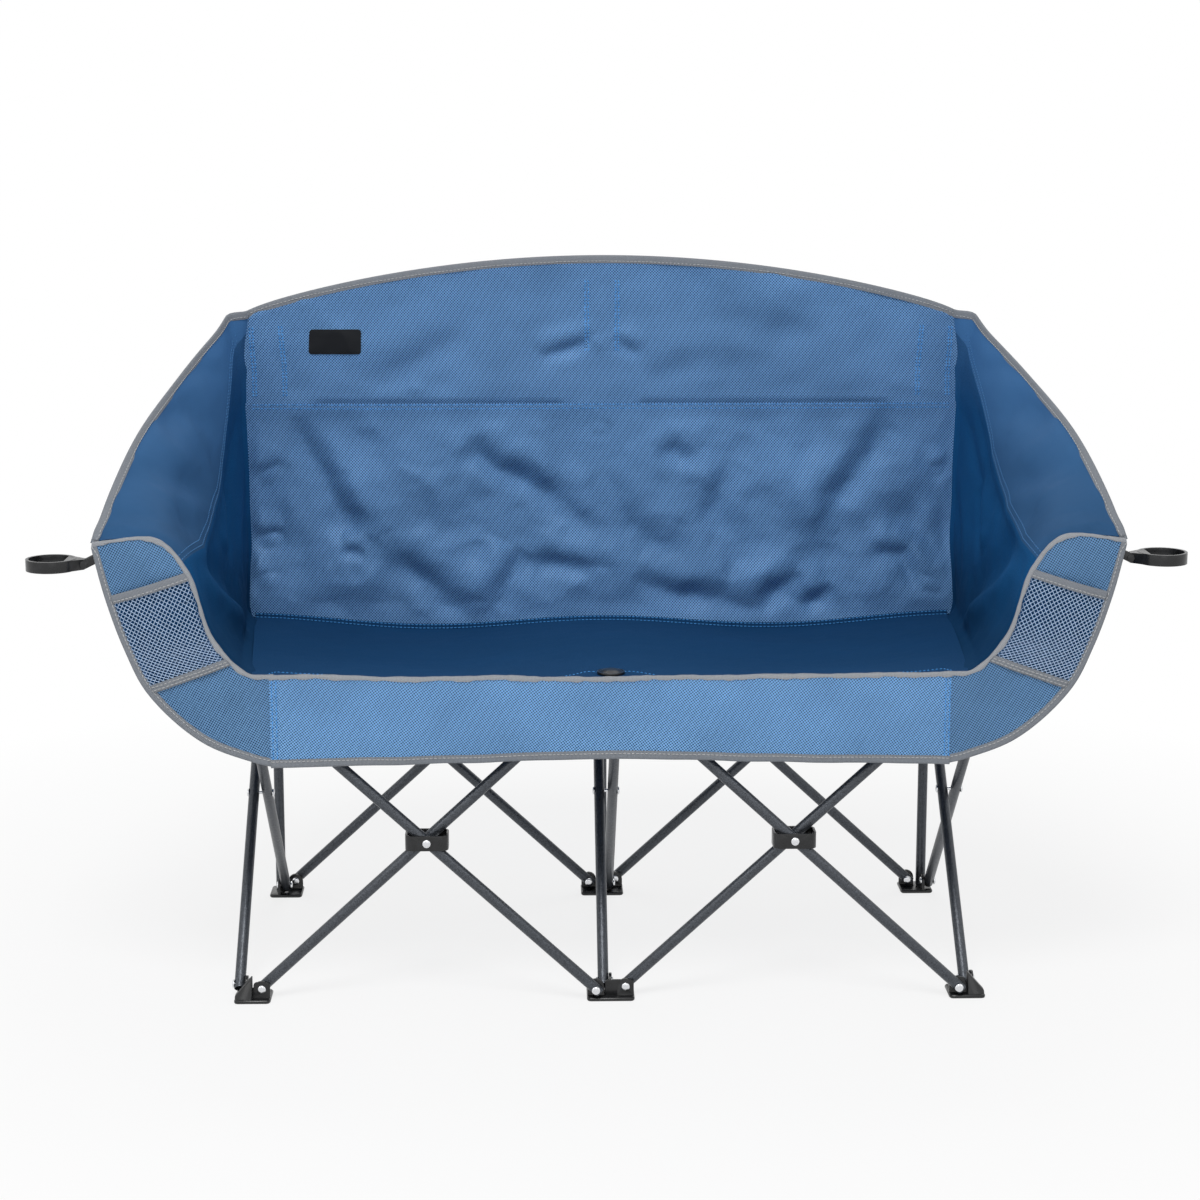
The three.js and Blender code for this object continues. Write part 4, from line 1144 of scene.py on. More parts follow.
def model_tube(length):
    """A tube along Z from the origin, bored at both ends and with broken rims."""
    tube = start_primitive(
        bpy.ops.mesh.primitive_cylinder_add, "tube_model", vertices=sizes().tube_sides, radius=TUBE_RADIUS,
        depth=length, location=(0, 0, length / 2))
    settle(tube)
    for end, inward in ((0, 1), (length, -1)):
        edit_select(tube, faces=lambda face: (
            abs(face.normal.z) > 0.9 and abs(face.calc_center_median().z - end) < 1e-4))
        bpy.ops.mesh.inset(thickness=TUBE_WALL)
        bpy.ops.mesh.extrude_region_move(TRANSFORM_OT_translate={"value": (0, 0, inward * TUBE_BORE)})
        leave_edit()
    edit_select(tube, edges=lambda edge: all(
        math.hypot(corner.co.x, corner.co.y) > TUBE_RADIUS - 1e-5
        and min(abs(corner.co.z), abs(corner.co.z - length)) < 1e-5 for corner in edge.verts))
    bpy.ops.mesh.bevel(offset=RIM_BREAK, segments=2, affect="EDGES")
    leave_edit()
    smooth(tube, 40)
    return tube


def model_rivet(grip):
    """A rivet along Z, centred on the origin: a pin between two domed heads."""
    rivet = start_primitive(
        bpy.ops.mesh.primitive_cylinder_add, "rivet_model", vertices=20, radius=PIN_RADIUS, depth=grip)
    settle(rivet)
    for side in (-1, 1):
        edit_select(rivet, faces=lambda face: face.normal.z * side > 0.9 and len(face.verts) > 4)
        steps = ((HEAD_RADIUS / PIN_RADIUS, 0.0), (1.0, 0.0012), (0.88, 0.0009), (0.62, 0.0006))
        for scale, rise in steps:
            bpy.ops.mesh.extrude_region_move(TRANSFORM_OT_translate={"value": (0, 0, side * rise)})
            bpy.ops.transform.resize(value=(scale, scale, 1))
        leave_edit()
    smooth(rivet, 50)
    return rivet


def moulded_copy(node, name):
    """A copy of a CAD moulding with its corners merged and its edges rounded."""
    obj = new_object(name, frame["nodes"][node].data.copy())
    obj.data.name = name
    select_only(obj)
    bpy.ops.mesh.customdata_custom_splitnormals_clear()
    bpy.ops.object.mode_set(mode="EDIT")
    bpy.ops.mesh.select_all(action="SELECT")
    bpy.ops.mesh.remove_doubles(threshold=0.00002)
    bpy.ops.mesh.dissolve_limited(angle_limit=math.radians(3))
    leave_edit()
    round_edges(obj, sizes().edge_round, 2, 40)
    smooth(obj, 35)
    paint(obj, "plastic")
    return obj


class LOVESEAT_OT_tubes(Operator):
    """Crossed tubes and back posts"""
    bl_idname = "loveseat.tubes"
    bl_label = "Tubes and posts"

    def execute(self, context):
        models = {}
        for node in [name for name, _ in PAIR_TUBES] + POSTS:
            lower, upper = tube_axis(node)
            length = (upper - lower).length
            key = round(length, 4)
            if key not in models:
                models[key] = model_tube(length)
                paint(models[key], "tube")
            tube = placed_copy(models[key], f"{node}_coated", turn_to(lower, upper))
            place_piece(tube, node_body(node), "tube", node)
        for model in models.values():
            discard(model)
        return {"FINISHED"}


class LOVESEAT_OT_fittings(Operator):
    """Feet, brackets, sliders, hub collars and arm fittings, with moulded edges"""
    bl_idname = "loveseat.fittings"
    bl_label = "Moulded fittings"

    def execute(self, context):
        hood = self.model_hood()
        outer_rivet = joint_place("front_left_foot_pivot").x
        ear = self.model_ear(outer_rivet - EAR_REACH, outer_rivet + EAR_REACH)
        centre_ear = self.model_ear(CENTRE_EAR_LEFT, CENTRE_RIVET_X + EAR_REACH)
        flip = Matrix.Diagonal((-1, 1, 1, 1))
        extras = {
            "front_left_foot": [(hood, Matrix()), (ear, Matrix())],
            "front_right_foot": [(hood, flip), (ear, flip)],
            "front_centre_foot": [(centre_ear, Matrix())],
        }
        for node in FITTINGS:
            fitting = moulded_copy(node, f"{node}_moulded")
            added = [placed_copy(model, "added", matrix) for model, matrix in extras.get(node, [])]
            if added:
                fitting = joined_pieces(f"{node}_moulded", [fitting, *added])
            place_piece(fitting, node_body(node), "plastic", node)
        for model in (hood, ear, centre_ear):
            discard(model)
        return {"FINISHED"}

    def model_hood(self):
        """The left front foot's hood, which rises in a curve before the side tube's end."""
        toe, peak, front, rear = -0.5450, -0.5192, -0.2690, -0.2475
        low, high, toe_height = 0.0040, 0.0375, 0.009
        hood = start_primitive(
            bpy.ops.mesh.primitive_cube_add, "hood_model", size=1,
            scale=(peak - toe, rear - front, high - low),
            location=((toe + peak) / 2, (front + rear) / 2, (low + high) / 2))
        settle(hood)
        edit_select(hood, faces=lambda face: face.normal.z > 0.9)
        bpy.ops.transform.resize(value=(1, 0.5, 1), center_override=(0, rear, 0))
        leave_edit()
        edit_select(hood, edges=lambda edge: all(
            corner.co.z > high - 1e-4 and corner.co.x < toe + 1e-4 for corner in edge.verts))
        bpy.ops.transform.translate(value=(0, 0, toe_height - high))
        leave_edit()
        self.round_off(hood, 0.0035)
        return hood

    def model_ear(self, left, right):
        """A squared ear round a front foot's rivet."""
        low, high = 0.0050, 0.0285
        ear = start_primitive(
            bpy.ops.mesh.primitive_cube_add, "ear_model", size=1,
            scale=(right - left, EAR_THICK - 2 * FIT, high - low),
            location=((left + right) / 2, EAR_Y, (low + high) / 2))
        settle(ear)
        edit_select(ear, edges=lambda edge: all(corner.co.z > high - 1e-4 for corner in edge.verts)
                    and abs(edge.verts[0].co.x - edge.verts[1].co.x) < 1e-5)
        bpy.ops.mesh.bevel(offset=0.005, segments=3, affect="EDGES")
        leave_edit()
        self.round_off(ear, 0.0008)
        return ear

    def round_off(self, obj, width):
        """Rounds a moulding's edges and gives it the plastic."""
        round_edges(obj, width, 3, 30)
        smooth(obj, 40)
        paint(obj, "plastic")


class LOVESEAT_OT_rivets(Operator):
    """Domed rivets at the ends and crossings of the tubes"""
    bl_idname = "loveseat.rivets"
    bl_label = "Rivets"

    def execute(self, context):
        layer = TUBE_RADIUS + FIT + EAR_THICK / 2
        grip = layer + TUBE_RADIUS + FIT + EAR_THICK / 2
        model = model_rivet(grip)
        paint(model, "zinc")
        for index in range(0, len(PAIR_TUBES), 2):
            pair = PAIR_TUBES[index:index + 2]
            across = ACROSS[pair[0][1]]
            plane = sum(tube_axis(node)[0].dot(across) for node, _ in pair) / 2
            for node, _ in pair:
                lower, upper = tube_axis(node)
                along = (upper - lower).normalized()
                side = across if lower.dot(across) > plane else -across
                middle = side * ((TUBE_RADIUS + FIT - EAR_THICK / 2 + layer) / 2 - layer)
                heads = []
                for distance in (TUBE_TAIL, TUBE_TAIL + PAIR_REACH):
                    spot = lower + along * distance + middle
                    heads.append(placed_copy(model, "rivet", turn_to(spot, spot + side)))
                rivets = joined_pieces(f"{node[:-5]}_end_rivets", heads)
                place_piece(rivets, node_body(node), "zinc")
        discard(model)
        for node, axis in THROUGH_RIVETS:
            low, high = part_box(node)
            model = model_rivet((high - low).dot(ACROSS[axis]) - HEADS_HEIGHT)
            paint(model, "zinc")
            spot = (low + high) / 2
            rivet = placed_copy(model, f"{node}_domed", turn_to(spot, spot + ACROSS[axis]))
            place_piece(rivet, node_body(node), "zinc", node)
            discard(model)
        return {"FINISHED"}


class LOVESEAT_OT_cup_rings(Operator):
    """Cup rings on their hinged necks"""
    bl_idname = "loveseat.cup_rings"
    bl_label = "Cup rings"

    def execute(self, context):
        for side, sign in SIDES.items():
            node = f"{side}_cup_holder"
            low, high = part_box(node)
            hinge = joint_place(f"{side}_cup_hinge")
            outer = (high.y - low.y) / 2
            tip = high.x if sign > 0 else low.x
            centre = Vector((tip - sign * outer, (low.y + high.y) / 2, low.z))
            ring = self.model_ring(f"{side}_cup_ring", centre, outer, high.z - low.z)
            neck = self.model_neck(hinge, centre, sign, outer, high.z - low.z)
            for part in (neck, self.model_knuckle(hinge)):
                apply_modifier(ring, "BOOLEAN", operation="UNION", object=part, solver="EXACT")
                discard(part)
            edit_select(ring, faces=lambda face: True)
            bpy.ops.mesh.remove_doubles(threshold=0.00005)
            leave_edit()
            round_edges(ring, 0.0014, 3, 45)
            smooth(ring, 40)
            paint(ring, "plastic")
            place_piece(ring, node_body(node), "plastic", node)
        return {"FINISHED"}

    def model_ring(self, name, centre, outer, height):
        """A ring with a thin wall."""
        ring = start_primitive(
            bpy.ops.mesh.primitive_circle_add, name, vertices=72, radius=outer - CUP_WALL,
            fill_type="NOTHING", location=centre)
        settle(ring)
        edit_select(ring, edges=lambda edge: True)
        bpy.ops.mesh.extrude_edges_move()
        share = outer / (outer - CUP_WALL)
        bpy.ops.transform.resize(value=(share, share, 1), center_override=centre)
        bpy.ops.mesh.select_all(action="SELECT")
        bpy.ops.mesh.extrude_region_move(TRANSFORM_OT_translate={"value": (0, 0, height)})
        bpy.ops.mesh.select_all(action="SELECT")
        bpy.ops.mesh.normals_make_consistent(inside=False)
        leave_edit()
        return ring

    def model_neck(self, hinge, centre, sign, outer, height):
        """A neck from the hinge that widens into the ring's wall."""
        reach = abs(centre.x - hinge.x) - outer * NECK_SUNK
        end = Vector((hinge.x + sign * reach, hinge.y, hinge.z))
        neck = start_primitive(
            bpy.ops.mesh.primitive_cube_add, "neck_model", size=1, scale=(reach, NECK_WIDTH, KNUCKLE_HEIGHT),
            location=(hinge.x + sign * reach / 2, hinge.y, hinge.z))
        settle(neck)
        edit_select(neck, faces=lambda face: face.normal.x * sign > 0.9)
        widened = (1, NECK_SPREAD * outer / NECK_WIDTH, height / KNUCKLE_HEIGHT)
        bpy.ops.transform.resize(value=widened, center_override=end)
        bpy.ops.transform.translate(value=(0, 0, centre.z + height / 2 - end.z))
        leave_edit()
        return neck

    def model_knuckle(self, hinge):
        """A round knuckle about the hinge pin."""
        knuckle = start_primitive(
            bpy.ops.mesh.primitive_cylinder_add, "knuckle_model", vertices=32, radius=KNUCKLE_RADIUS,
            depth=NECK_WIDTH, location=hinge, rotation=(math.radians(90), 0, 0))
        settle(knuckle)
        return knuckle


# Dressed forms of the cloth: the plain forms above with their creases and sewn edges

FRONT = Vector((0, -4, 0.7))
BUCKET = Vector((0, -0.6, 0.75))
LEAST_DROP = 0.014
SEAT_FOLD = 0.5
LIP_SHARE = 0.795
SLIT_INNER = 0.044
SLIT_OUTER = 0.477
BACK_BELLY = 0.014
BACK_FOOT_CURL = 0.005
NET_STANDOFF = 0.0022
NET_SLACK = 0.0085
WING_RIDGE = 0.013
WING_OVERLAP = 0.007
FELLED_STARTS = {"left": 0.0005, "right": 0.9885}  # the band's upright seams, as shares of its length
FELLED_SHARE = 0.011

# Creases of the back: x and z of their spots, half their width and their depth, in metres
LOWER_CREASES = [
    ([(-0.483, 0.798), (-0.44, 0.718), (-0.4, 0.643), (-0.366, 0.591)], 0.024, 0.0075),
    ([(-0.417, 0.583), (-0.379, 0.58)], 0.012, 0.0050),
    ([(-0.376, 0.594), (-0.305, 0.565), (-0.254, 0.529), (-0.197, 0.469)], 0.026, 0.0080),
    ([(-0.243, 0.723), (-0.195, 0.746), (-0.16, 0.717), (-0.115, 0.7), (-0.074, 0.668), (-0.051, 0.622)],
     0.020, 0.0075),
    ([(-0.142, 0.582), (-0.158, 0.545), (-0.187, 0.492)], 0.020, 0.0070),
    ([(-0.029, 0.787), (0.019, 0.774)], 0.012, 0.0040),
    ([(-0.067, 0.703), (-0.029, 0.645), (0.016, 0.59)], 0.022, 0.0055),
    ([(-0.126, 0.569), (-0.052, 0.564), (0.029, 0.554)], 0.020, 0.0065),
    ([(0.055, 0.544), (0.126, 0.517), (0.204, 0.52)], 0.020, 0.0065),
    ([(0.08, 0.732), (0.118, 0.748), (0.147, 0.725)], 0.018, 0.0045),
    ([(0.198, 0.722), (0.17, 0.667), (0.151, 0.612)], 0.022, 0.0055),
    ([(0.451, 0.789), (0.397, 0.721), (0.36, 0.666), (0.338, 0.595)], 0.026, 0.0080),
    ([(0.426, 0.578), (0.461, 0.58), (0.491, 0.575), (0.517, 0.535), (0.563, 0.522)], 0.017, 0.0070),
    ([(0.24, 0.477), (0.268, 0.52), (0.313, 0.546)], 0.020, 0.0065),
    ([(0.317, 0.487), (0.365, 0.526)], 0.016, 0.0055),
    ([(-0.559, 0.692), (-0.507, 0.724)], 0.014, 0.0050),
    ([(-0.564, 0.595), (-0.51, 0.611)], 0.015, 0.0065),
    ([(-0.569, 0.52), (-0.53, 0.549)], 0.014, 0.0055),
    ([(0.523, 0.705), (0.558, 0.713)], 0.012, 0.0045),
    ([(-0.003, 0.703), (0.061, 0.622), (0.158, 0.563)], 0.030, 0.0050),
]
UPPER_CREASES = [
    ([(-0.105, 0.891), (-0.048, 0.907), (-0.003, 0.921)], 0.013, 0.0050),
    ([(-0.003, 0.921), (0.006, 0.891)], 0.009, 0.0040),
    ([(0.013, 0.92), (0.064, 0.894)], 0.012, 0.0042),
    ([(-0.315, 0.828), (-0.283, 0.815)], 0.010, 0.0034),
    ([(-0.381, 0.851), (-0.289, 0.901), (-0.209, 0.939)], 0.026, 0.0036),
    ([(0.155, 0.973), (0.251, 0.945), (0.362, 0.944)], 0.028, 0.0034),
    ([(0.061, 0.869), (0.156, 0.894), (0.268, 0.884)], 0.024, 0.0030),
]
# Folds of the wings and gussets, with y in place of x
WING_CREASES = [
    ([(-0.21, 0.655), (-0.13, 0.605), (-0.04, 0.554), (0.07, 0.500)], 0.030, -0.0085),
    ([(0.250, 0.830), (0.165, 0.765), (0.085, 0.700)], 0.024, 0.0050),
    ([(0.250, 0.690), (0.190, 0.610), (0.150, 0.540)], 0.022, 0.0055),
    ([(0.110, 0.700), (0.085, 0.650), (0.050, 0.600)], 0.020, 0.0060),
    ([(0.120, 0.800), (0.030, 0.845), (-0.070, 0.850)], 0.030, 0.0045),
    ([(0.010, 0.715), (-0.090, 0.755), (-0.170, 0.760)], 0.030, 0.0045),
    ([(0.200, 0.870), (0.090, 0.915)], 0.022, 0.0035),
    ([(-0.080, 0.660), (-0.170, 0.700), (-0.230, 0.690)], 0.026, 0.0035),
]


def crease_height(x, z, lines):
    """Height of creases at a place: a crest above each line and a hollow below it, fading at its ends."""
    height = 0.0
    for spots, width, depth in lines:
        nearest, along, above = 9.0, 0.0, 1.0
        for index, ((ax, az), (bx, bz)) in enumerate(zip(spots, spots[1:])):
            run, rise = bx - ax, bz - az
            share = clamp(((x - ax) * run + (z - az) * rise) / (run * run + rise * rise))
            off_x, off_z = x - ax - run * share, z - az - rise * share
            gap = math.hypot(off_x, off_z)
            if gap < nearest:
                nearest, along = gap, (index + share) / (len(spots) - 1)
                above = math.copysign(1.0, off_z * run - off_x * rise) * math.copysign(1.0, run)
        reach = above * nearest / width
        if abs(reach) < 5:
            fade = math.sin(math.pi * clamp(along)) ** 0.6
            crest = math.exp(-((reach - 1.0) / 1.25) ** 2)
            hollow = math.exp(-((reach + 0.8) / 0.9) ** 2)
            height += 1.6 * depth * fade * (0.8 * crest - hollow)
    return height


def seam_height(x):
    """Height of the seam between seat and back."""
    return seat_point(clamp(0.5 + x / (2 * SEAT_REAR_HALF)), 0).z


def near_post(x):
    """1 in front of a post, falling to 0 beside it."""
    gap = min(abs(abs(x) - POST.x), abs(x))
    return math.exp(-(gap / 0.022) ** 2)


def slit(x):
    """1 along the two open slits of the back, 0 where its panels are sewn together."""
    inside = smoothstep(abs(x), SLIT_INNER, SLIT_INNER + 0.03)
    return inside * (1 - smoothstep(abs(x), SLIT_OUTER - 0.04, SLIT_OUTER))


def back_slack(across, z):
    """How far the lower back stands forward: at its foot and in a soft belly above the seat."""
    belly = BACK_BELLY * smoothstep(z, 0.49, 0.605) * (1 - smoothstep(z, 0.615, BACK_SPLIT_Z))
    foot = BACK_FOOT_CURL * (1 - smoothstep(z, BACK_BOTTOM_Z - SEAT_REAR_DIP, BACK_BOTTOM_Z + 0.03))
    return (belly + foot) * (1 - smoothstep(abs(across), 0.78, 0.97))


def creased_back(across, z, lines, strength, calm):
    """Back cloth with its creases, which calm holds down near its seams."""
    base = back_point(across, z) - Vector((0, back_slack(across, z), 0))
    depth = sizes().crease
    spot = Vector((base.x, 0.3, z))
    folds = creases(spot + Vector((5, 0, 2)), 5.0) - 0.45
    height = strength * depth * (0.9 * crumple(spot, 8.0) + 0.7 * folds)
    height = (height + crease_height(base.x, z, lines)) * calm * (1 - smoothstep(abs(across), 0.965, 1))
    post = near_post(base.x)
    height = lerp(height, abs(height) * 0.6, post)
    return base - Vector((0, height, 0))


def lower_back(u, v):
    """Lower back panel, from the seat's seam up to its hemmed edge, which stands off at the slits."""
    across = 2 * u - 1
    start = seam_height(across * BACK_BOTTOM_HALF) + 0.001
    z = lerp(start, BACK_SPLIT_Z, v)
    calm = smoothstep(v, 0.0, 0.10) * (1 - 0.8 * smoothstep(v, 0.86, 1))
    spot = creased_back(across, z, LOWER_CREASES, 1.0, calm)
    proud = smoothstep(z, BACK_SPLIT_Z - 0.03, BACK_SPLIT_Z) * (0.0019 + 0.0018 * slit(spot.x))
    return spot - Vector((0, proud, 0))


def upper_back(u, v):
    """Upper back panel, from behind the lower one's hem up to the top edge."""
    across = 2 * u - 1
    z = lerp(BACK_SPLIT_Z - LEAST_DROP, back_top(across) - 0.006 * across ** 24, v)
    calm = smoothstep(v, 0.08, 0.22) * (1 - smoothstep(v, 0.9, 1))
    spot = creased_back(across, z, UPPER_CREASES, 0.5, calm)
    spot.x -= 0.010 * smoothstep(z, 0.88, WING_CORNER.z) * across ** 5
    fallen = 0.0036 * slit(spot.x) * (1 - smoothstep(z, BACK_SPLIT_Z - 0.001, BACK_SPLIT_Z + 0.009))
    return spot + Vector((0, fallen, 0))


def seat_cloth(across, along):
    """Seat cloth with shallow unevenness."""
    base = seat_point(across, along)
    calm = smoothstep(along, 0, 0.1) * (1 - smoothstep(along, 0.93, 1))
    calm *= 1 - smoothstep(abs(2 * across - 1), 0.92, 1)
    return base + UP * (0.0018 * crumple(Vector((base.x, base.y, 4.0)), 8.0) * calm)


def band_cloth(u, v):
    """Front band with slight unevenness between its seams."""
    base = band_point(u, v)
    calm = smoothstep(v, 0, 0.2) * smoothstep(u, 0, 0.03) * (1 - smoothstep(u, 0.97, 1))
    return base - Vector((0, 0.0016 * calm * (crumple(Vector((base.x, 2.0, base.z)), 10.0) + 0.6), 0))


def arm_cloth(along, across):
    """Right arm band with a few soft folds."""
    base = arm_point(along, across)
    calm = math.sin(math.pi * clamp(across)) * smoothstep(along, 0, 0.08)
    fold = 0.0026 * (crumple(Vector((base.x, 6.0, base.z)), 11.0) + 0.5)
    under_band = 1 - smoothstep(along, 0, 0.04)
    return base - Vector((0.007 * under_band, fold * calm - 0.0015 * under_band, 0))


def calm_edge(share):
    """0 at both ends of a share's range and 1 between them."""
    return smoothstep(share, 0, 0.2) * (1 - smoothstep(share, 0.8, 1))


def pocket_net(up, across):
    """Right pocket net, a little slack in front of the arm band."""
    base = net_point(up, lerp(0.035, 0.925, across))
    slack = NET_SLACK * math.sin(math.pi * clamp(across)) * (0.45 + 0.55 * clamp(up))
    uneven = 0.0015 * calm_edge(across) * crumple(Vector((base.x, 1.0, base.z)), 22.0)
    return base - Vector((0, NET_STANDOFF + slack + uneven, 0))


def seam_up(seam, forward):
    """Height share of a wing's seam, from the back's top corner down to the arm."""
    place = clamp(forward)
    for (a, low), (b, high) in zip(seam, seam[1:]):
        if place <= b:
            return lerp(low, high, (place - a) / (b - a))


def wing_cloth(forward, up, seam):
    """Right wing with the ridge of its seam, slack in the gusset and soft creases."""
    base = wing_base(forward, up)
    inside = surface_normal(
        wing_base, clamp(forward, 0.01, 0.99), clamp(up, 0.01, 0.99), Vector((0, -0.3, 0.7)))
    inner_calm = math.sin(math.pi * clamp(forward)) ** 0.6
    away = up - seam_up(seam, forward)
    away /= 0.16 if away > 0 else 0.06
    ridge = WING_RIDGE * math.exp(-away * away) * inner_calm
    spot = Vector((base.y, 8.0, base.z))
    calm = inner_calm * smoothstep(up, 0, 0.1) * (1 - smoothstep(up, 0.92, 1))
    calm *= 1 - 0.85 * math.exp(-((up - seam_up(seam, forward)) / 0.09) ** 2)
    folds = crease_height(base.y, base.z, WING_CREASES)
    uneven = (0.0050 * crumple(spot, 7.0) + 0.0034 * creases(spot, 4.5) + folds) * calm
    share = lerp(0.2, 1, up)
    outward = (curve_point(ARM_OUTER, share) - curve_point(ARM_INNER, share)).normalized()
    behind_arm = outward * (WING_OVERLAP * smoothstep(forward, 0.95, 1))
    tuck = lerp(0.005, 0.022, smoothstep(forward, 0.0, 0.07))
    under_seat = Vector((-tuck, 0, -0.005)) * (1 - smoothstep(up, 0, 0.05))
    above_arm = UP * (WING_OVERLAP * smoothstep(forward, 0.86, 1) * smoothstep(up, 0.78, 0.95))
    laid = base + inside * (ridge + uneven) + behind_arm + above_arm
    return laid + beside_back(forward, base.z) + under_seat


def beside_back(forward, z):
    """Shift of the wing's rear edge: behind the back's edge, but in front of it towards the top corner."""
    behind = Vector((-0.012, 0.010, 0)) * (1 - smoothstep(forward, 0, 0.014))
    corner = smoothstep(z, 0.88, WING_CORNER.z)
    in_front = Vector((-0.005 - 0.019 * corner, -0.0032, 0.0015 * corner ** 4))
    in_front *= 1 - smoothstep(forward, 0, 0.034)
    peak = UP * (0.0075 * corner ** 4 * smoothstep(forward, 0, 0.03) * (1 - smoothstep(forward, 0.03, 0.12)))
    return behind.lerp(in_front, smoothstep(z, 0.845, 0.875)) + peak


def outer_wing(sign):
    """Left or right wing above its seam."""
    seam = WING_SEAMS[sign]
    return mirrored(
        lambda forward, share: wing_cloth(forward, lerp(seam_up(seam, forward), 1, share), seam), sign)


def gusset(sign):
    """Left or right wing below its seam."""
    seam = WING_SEAMS[sign]
    return mirrored(
        lambda forward, share: wing_cloth(forward, lerp(0, seam_up(seam, forward), share), seam), sign)


def mirrored(point, sign):
    """A right-hand form, or its mirror image for the left."""
    if sign > 0:
        return point
    return lambda u, v: Vector((-point(u, v).x, *point(u, v).yz))


def hang(obj, panel, slot=None, *nodes):
    """Makes a soft piece move with its panel and hides the CAD nodes that it stands for; the finish slot is
    not used.
    """
    attach_cloth(obj, panel)
    if nodes:
        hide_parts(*nodes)
    return obj


def trim(panel, *pieces):
    """Makes tapes and stitches move with their panel, and returns them."""
    for piece in pieces:
        attach_cloth(piece, panel)
    return list(pieces)


def upright_row(point, u, low, high, lift):
    """Path up a panel at u, between two shares of its height."""
    return surface_path(point, lambda s: (u, lerp(low, high, s)), FRONT, 40, lift)


def top_tracks(start, stop, inside):
    """Tracks along a panel's top edge between two shares, and a little inside it."""
    return lambda s: (lerp(start, stop, s), 1), lambda s: (lerp(start, stop, s), inside)


class LOVESEAT_OT_back(Operator):
    """Back panels with their slits, post pockets, blank patch, stitching and top tape"""
    bl_idname = "loveseat.back"
    bl_label = "Back"

    def execute(self, context):
        lift = sizes().cloth / 2
        lower = cloth_sheet("back_lower_cloth", lower_back, 260, 84, finish("back"), upright=True)
        hang(lower, "back", "blue", "back_lower_panel")
        upper = cloth_sheet("back_upper_cloth", upper_back, 260, 60, finish("back"), upright=True)
        hang(upper, "back", "blue", "back_upper_panel")
        hem_rows = [
            surface_path(lower_back, lambda s, v=v: (lerp(0.01, 0.99, s), v), FRONT, 200, lift)
            for v in (0.975, 0.993)]
        lower_trim = trim("back", sew("back_hem_stitches", hem_rows, finish("thread")))
        tape = self.top_tape()
        tape_row = [surface_path(upper_back, lambda s: (lerp(0.003, 0.997, s), 0.966), FRONT, 200, TAPE_LIFT)]
        stitches = sew("back_tape_stitches", tape_row, finish("pale_thread"))
        upper_trim = trim("back", tape, stitches, self.pocket_stitches(lift), self.patch())
        declare_cloth(lower)
        declare_cloth(upper)
        for side in PLACES:
            self.pocket(side)
        return {"FINISHED"}

    def top_tape(self):
        """Tape over the top edge, turned down onto the wings' corners."""
        runs = [
            edge_rows(outer_wing(-1), *top_tracks(0.05, 0.002, 0.9), BUCKET, 8),
            edge_rows(upper_back, *top_tracks(0.003, 0.997, 0.96), FRONT, 200),
            edge_rows(outer_wing(1), *top_tracks(0.002, 0.05, 0.9), BUCKET, 8),
        ]
        edge, inward, normals = (sum(parts, []) for parts in zip(*runs))
        return edge_tape("back_top_tape", edge, inward, normals, sizes().tape, finish("tape"))

    def pocket_stitches(self, lift):
        """Zigzag rows on both sides of each post."""
        rows = []
        for side, place in (("left", -POST.x), ("middle", 0), ("right", POST.x)):
            low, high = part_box(f"{side}_post_pocket")
            for row in (-0.0265, -0.0215, 0.0215, 0.0265):
                x = place + row
                u = 0.5 + x / (2 * back_half((low.z + high.z) / 2))
                top = back_top(2 * u - 1)
                start = BACK_SPLIT_Z - LEAST_DROP
                shares = [(z - start) / (top - start) for z in (low.z - 0.002, high.z - 0.016)]
                rows.append(upright_row(upper_back, u, *shares, lift))
        return sew("pocket_stitches", rows, finish("thread"), 0.0011, 0.5)

    def patch(self):
        """A blank sewn patch with rounded corners."""
        middle_x, middle_z, half_x, half_z, corner = -0.4235, 0.9085, 0.0415, 0.0195, 0.005

        def point(u, v):
            x, z = (2 * u - 1) * half_x, (1 - 2 * v) * half_z
            over_x, over_z = abs(x) - half_x + corner, abs(z) - half_z + corner
            if over_x > 0 and over_z > 0:
                pull = max(over_x, over_z) / math.hypot(over_x, over_z)
                x = math.copysign(half_x - corner + over_x * pull, x)
                z = math.copysign(half_z - corner + over_z * pull, z)
            x, z = middle_x + x, middle_z + z
            start = BACK_SPLIT_Z - LEAST_DROP
            across = x / back_half(z)
            base = upper_back(0.5 + across / 2, (z - start) / (back_top(across) - start))
            edge = max(abs(2 * u - 1), abs(2 * v - 1))
            return base - Vector((0, 0.0016 + 0.0005 * (1 - edge ** 6), 0))

        return cloth_sheet("blank_patch", point, 40, 20, finish("patch"), 0.0014)

    def pocket(self, side):
        """A sleeve sewn behind the back, round a post's upper end."""
        low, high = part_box(f"{side}_post_pocket")
        centre = Vector(((low.x + high.x) / 2, POST.y, 0))
        radius = high.y - POST.y - 0.0011
        flange_y = POST.y - TUBE_RADIUS + 0.0003

        def point(u, v):
            z = lerp(low.z, high.z, v)
            turn = math.pi * (clamp((u - 0.2) / 0.6) - 0.5)
            across = math.sin(turn) * radius
            deep = POST.y + math.cos(turn) * radius
            if u < 0.2 or u > 0.8:
                out = abs(u - 0.5) - 0.3
                across = math.copysign(radius + out * 0.085, u - 0.5)
                deep = lerp(POST.y, flange_y, smoothstep(out, 0, 0.07))
            return Vector((centre.x + across, deep, z))

        sleeve = cloth_sheet(f"{side}_pocket_sleeve", point, 60, 24, finish("back"), 0.0012)
        hang(sleeve, f"{side}_post", "blue", f"{side}_post_pocket")
        declare_cloth(sleeve)


